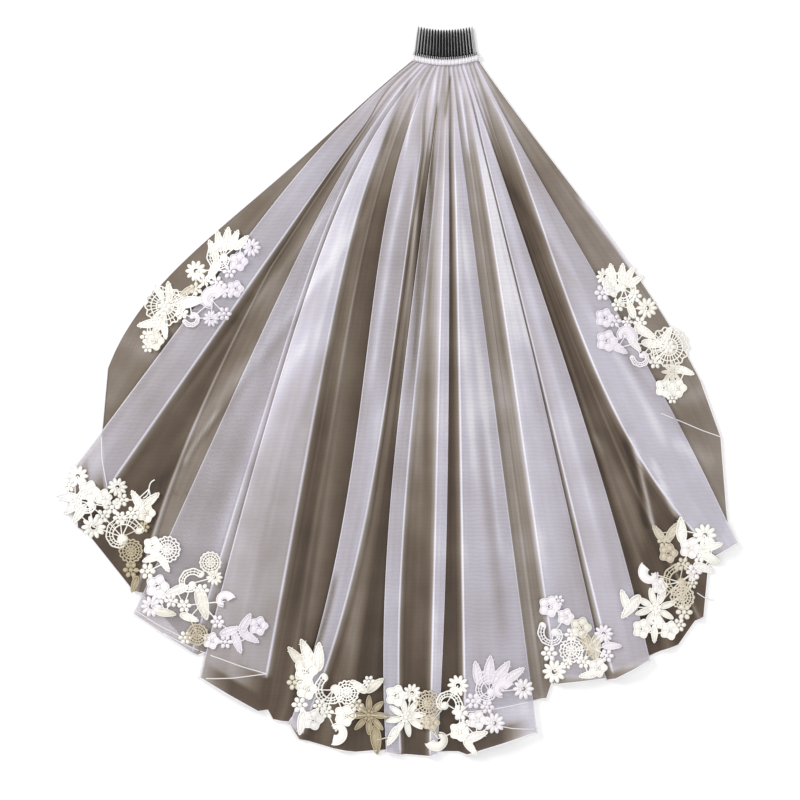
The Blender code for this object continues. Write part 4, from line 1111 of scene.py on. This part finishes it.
# Round teeth that draw together and taper to their tips, on a spine of oval section
def makeComb(material):
    shape = LaceShape()
    rings, sides = comb["spineRings"], comb["sides"]
    spineAt = np.linspace(-1.0, 1.0, rings) * comb["halfWidth"] / veil["gatherHalf"]
    flat = gatherPoint(spineAt, (comb["base"] + comb["root"]) / 2.0 + 0.2)
    centres = np.column_stack([flat, np.full(rings, comb["middle"])])
    up = np.tile([0.0, 0.0, comb["thick"]], (rings, 1))
    side = np.tile([0.0, comb["spineHalf"], 0.0], (rings, 1))
    points, faces = ringTube(centres, side, up, sides)
    shape.add(points, faces, 0.0, np.full(len(points), 0.1))
    for k in range(comb["teeth"]):
        share = (k + 0.5) / comb["teeth"] * 2.0 - 1.0
        low = gatherPoint(share * comb["halfWidth"] / veil["gatherHalf"], comb["root"] - 1.0)
        high = gatherPoint(share * comb["tipHalfWidth"] / veil["gatherHalf"],
                           comb["root"] + comb["length"])
        t = np.array([0.0, 0.1, 0.3, 0.5, 0.7, 0.85, 0.93, 0.975, 1.0])[:, None]
        centre = low + (high - low) * t
        taper = np.array([1.25, 1.05, 1.0, 0.97, 0.92, 0.84, 0.7, 0.48, 0.12])[:, None]
        centres = np.column_stack([centre, np.full(len(t), comb["middle"])])
        half = comb["toothHalf"] + (comb["endToothHalf"] - comb["toothHalf"]) * share * share
        points, faces = ringTube(centres, np.array([[half, 0.0, 0.0]]) * taper,
                                 np.array([[0.0, 0.0, comb["thick"] * 0.95]]) * taper, sides)
        # Teeth painted paler at random, the more so towards the ends: painted highlights where they catch
        # the light.
        toothGlint = 0.05 + (0.15 + 0.5 * share * share) * (0.5 + 0.5 * math.sin(2.4 * k * k + 1.0)) ** 2
        shape.add(points, faces, 0.0, np.full(len(points), 0.8 if k == comb["teeth"] - 1 else toothGlint))
    return shape.piece("hairComb", material)


bindingRoll = {
    "half": 3.5, "forward": 3.8, "height": 2.9, "middle": 3.0, "end": 1.03, "rings": 180, "sides": 14,
    "pucker": 0.07, "puckers": 62.0, "creaseShade": 0.45,
    "stitches": 34, "stitchEnd": 0.97, "stitchHalf": 0.34, "stitchReach": 5.2, "stitchRise": 3.3,
}


# A puckered roll along the gathers, with whip stitches over it and round the comb's spine
def makeBinding(material):
    shape = LaceShape()
    end, sides = bindingRoll["end"], bindingRoll["sides"]
    at = np.linspace(-end, end, bindingRoll["rings"])
    flat = gatherPoint(at, bindingRoll["forward"])
    wave = np.sin(at * bindingRoll["puckers"] + 0.8 * np.sin(at * 9.0))
    pucker = 1.0 + bindingRoll["pucker"] * wave
    ends = smooth((end - np.abs(at)) / 0.05 + 0.25)
    centres = np.column_stack([flat, np.full(len(at), bindingRoll["middle"])])
    side = np.array([[0.0, 1.0, 0.0]]) * (bindingRoll["half"] * pucker * ends)[:, None]
    up = np.array([[0.0, 0.0, 1.0]]) * (bindingRoll["height"] * pucker * ends)[:, None]
    points, faces = ringTube(centres, side, up, sides)
    # Painted shade in the troughs of the puckers.
    crease = bindingRoll["creaseShade"] * (1.0 - wave) / 2.0
    shape.add(points, faces, 0.0, np.repeat(crease, sides))
    angle = np.linspace(-0.3, math.pi + 0.3, 12)
    half = bindingRoll["stitchHalf"]
    for k in range(bindingRoll["stitches"]):
        share = bindingRoll["stitchEnd"] * ((2 * k + 1) / bindingRoll["stitches"] - 1.0)
        middle = gatherPoint(share, bindingRoll["forward"] + 1.4)
        lean = np.linspace(-0.9, 0.9, 12)
        reach = bindingRoll["stitchReach"] * np.cos(angle)
        rise = bindingRoll["stitchRise"] * np.sin(angle)
        path = np.column_stack([middle[0] + lean, middle[1] - reach, 2.7 + rise])
        tangent = unit(np.gradient(path, axis=0))
        side = unit(np.cross(tangent, np.array([[1.0, 0.0, 0.0]])))
        points, faces = ringTube(path, side * half, np.tile([half, 0.0, 0.0], (12, 1)), 6)
        shape.add(points, faces, 0.0, np.zeros(len(points)))
    return shape.piece("bindingRoll", material)


# Black plastic, lifted towards pale grey where the attribute paints highlights, and varied by a scuff noise.
def combMaterial():
    material, tree, shader = newMaterial("combPlastic", 0.42)
    shader.inputs["Specular IOR Level"].default_value = 0.1
    coords = tree.nodes.new("ShaderNodeTexCoord")
    scuff = noiseOn(tree, coords.outputs["Object"], 220.0, (1.0, 0.2, 1.0), 3.0)
    ramp = rampNode(tree, [(0.0, (3, 3, 4)), (0.4, (16, 15, 18)), (1.0, (196, 192, 198))])
    level = mathNode(tree, "ADD", attributeNode(tree, "depth"), swing(tree, scuff, 0.25))
    tree.links.new(level, ramp.inputs["Fac"])
    tree.links.new(ramp.outputs[0], shader.inputs["Base Color"])
    bumpFrom(tree, shader, scuff, 0.15, 0.0002)
    return material


# The net
netPoints, netTones, netCovers, downShares = veilSurface()
netPoints, netTones = addCreases(netPoints, netTones)
rowCount, columnCount = netPoints.shape[:2]
uvGrid = np.stack(np.broadcast_arrays(np.linspace(0.0, 1.0, columnCount)[None, :],
                                      1.0 - downShares[:, None]), axis=-1)
net = meshPiece("tulleVeil", netPoints, gridFaces(rowCount, columnCount), netMaterial(),
                {"tone": netTones, "cover": netCovers}, uvGrid)
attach(net, "root")
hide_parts("tulle")
rowStep, columnStep = np.diff(netPoints, axis=0)[:, :-1], np.diff(netPoints, axis=1)[:-1]
netArea = np.linalg.norm(np.cross(rowStep, columnStep), axis=2).sum() * mm * mm
print("net", rowCount, "rows", columnCount, "columns, area", round(netArea, 3))

# Hem, comb and binding
netTree = BVHTree.FromPolygons(netPoints.reshape(-1, 3).tolist(),
                               gridFaces(rowCount, columnCount).tolist())
white = threadMaterial("hemThread", (238, 235, 238), (196, 190, 194), 0.7, 900.0, 0.4)
satin = threadMaterial("bindingSatin", (236, 233, 238), (176, 170, 178), 0.5, 500.0, 0.3)
hem = makeHem(netPoints, netTree, white)
combPiece = makeComb(combMaterial())
binding = makeBinding(satin)
for piece, node, slot in ((hem, "hem_cord", "cord"), (combPiece, "comb", "comb"),
                          (binding, "binding", "binding")):
    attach(piece, "root")
    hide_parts(node)
print("hem, comb and binding")

# Lace
laceWork = laceMaterial()
lacePieces = [makeLace(name, figures, netTree, laceWork) for name, figures in laceTables.items()]
print("lace", sum(len(piece.data.polygons) for piece in lacePieces), "faces")

# Camera, light and floor
view = {"x": 3.8, "y": -10.2, "height": 2400.0, "lens": 85.0}
studioLook = {
    "sky": 0.62, "floor": 0.93, "floorHalf": 4000.0, "floorDepth": 0.4,
    "sideAt": (-2.2, 1.4, 1.5), "sideSize": 1.2, "sidePower": 54.0,
    "topAt": (0.8, -0.8, 3.0), "topSize": 2.0, "topPower": 37.0,
}


def lookStraightDown():
    camera = bpy.data.cameras.new("camera")
    camera.lens = view["lens"]
    camera.clip_start = 0.01
    holder = bpy.data.objects.new("camera", camera)
    holder.location = (view["x"] * mm, view["y"] * mm, view["height"] * mm)
    bpy.context.scene.collection.objects.link(holder)
    bpy.context.scene.camera = holder


def areaLight(name, place, size, power):
    lamp = bpy.data.lights.new(name, "AREA")
    lamp.size = size
    lamp.energy = power
    holder = bpy.data.objects.new(name, lamp)
    holder.location = place
    holder.rotation_euler = (-Vector(place)).to_track_quat("-Z", "Y").to_euler()
    bpy.context.scene.collection.objects.link(holder)


def studio():
    floorMaterial, _, floorShader = newMaterial("floorPaper", 0.9)
    floorShader.inputs["Base Color"].default_value = (studioLook["floor"],) * 3 + (1.0,)
    corners = np.array([(x * studioLook["floorHalf"], y * studioLook["floorHalf"], -studioLook["floorDepth"])
                        for x, y in ((-1, -1), (1, -1), (1, 1), (-1, 1))])
    meshPiece("floor", corners, [(0, 1, 2, 3)], floorMaterial)
    world = bpy.data.worlds.new("studio")
    world.use_nodes = True
    background = world.node_tree.nodes["Background"]
    background.inputs["Color"].default_value = (1.0, 1.0, 1.0, 1.0)
    background.inputs["Strength"].default_value = studioLook["sky"]
    scene = bpy.context.scene
    scene.world = world
    areaLight("sideLight", studioLook["sideAt"], studioLook["sideSize"], studioLook["sidePower"])
    areaLight("topLight", studioLook["topAt"], studioLook["topSize"], studioLook["topPower"])
    scene.view_settings.view_transform = "Standard"
    scene.cycles.transparent_max_bounces = 24


lookStraightDown()
studio()
print("camera and light")
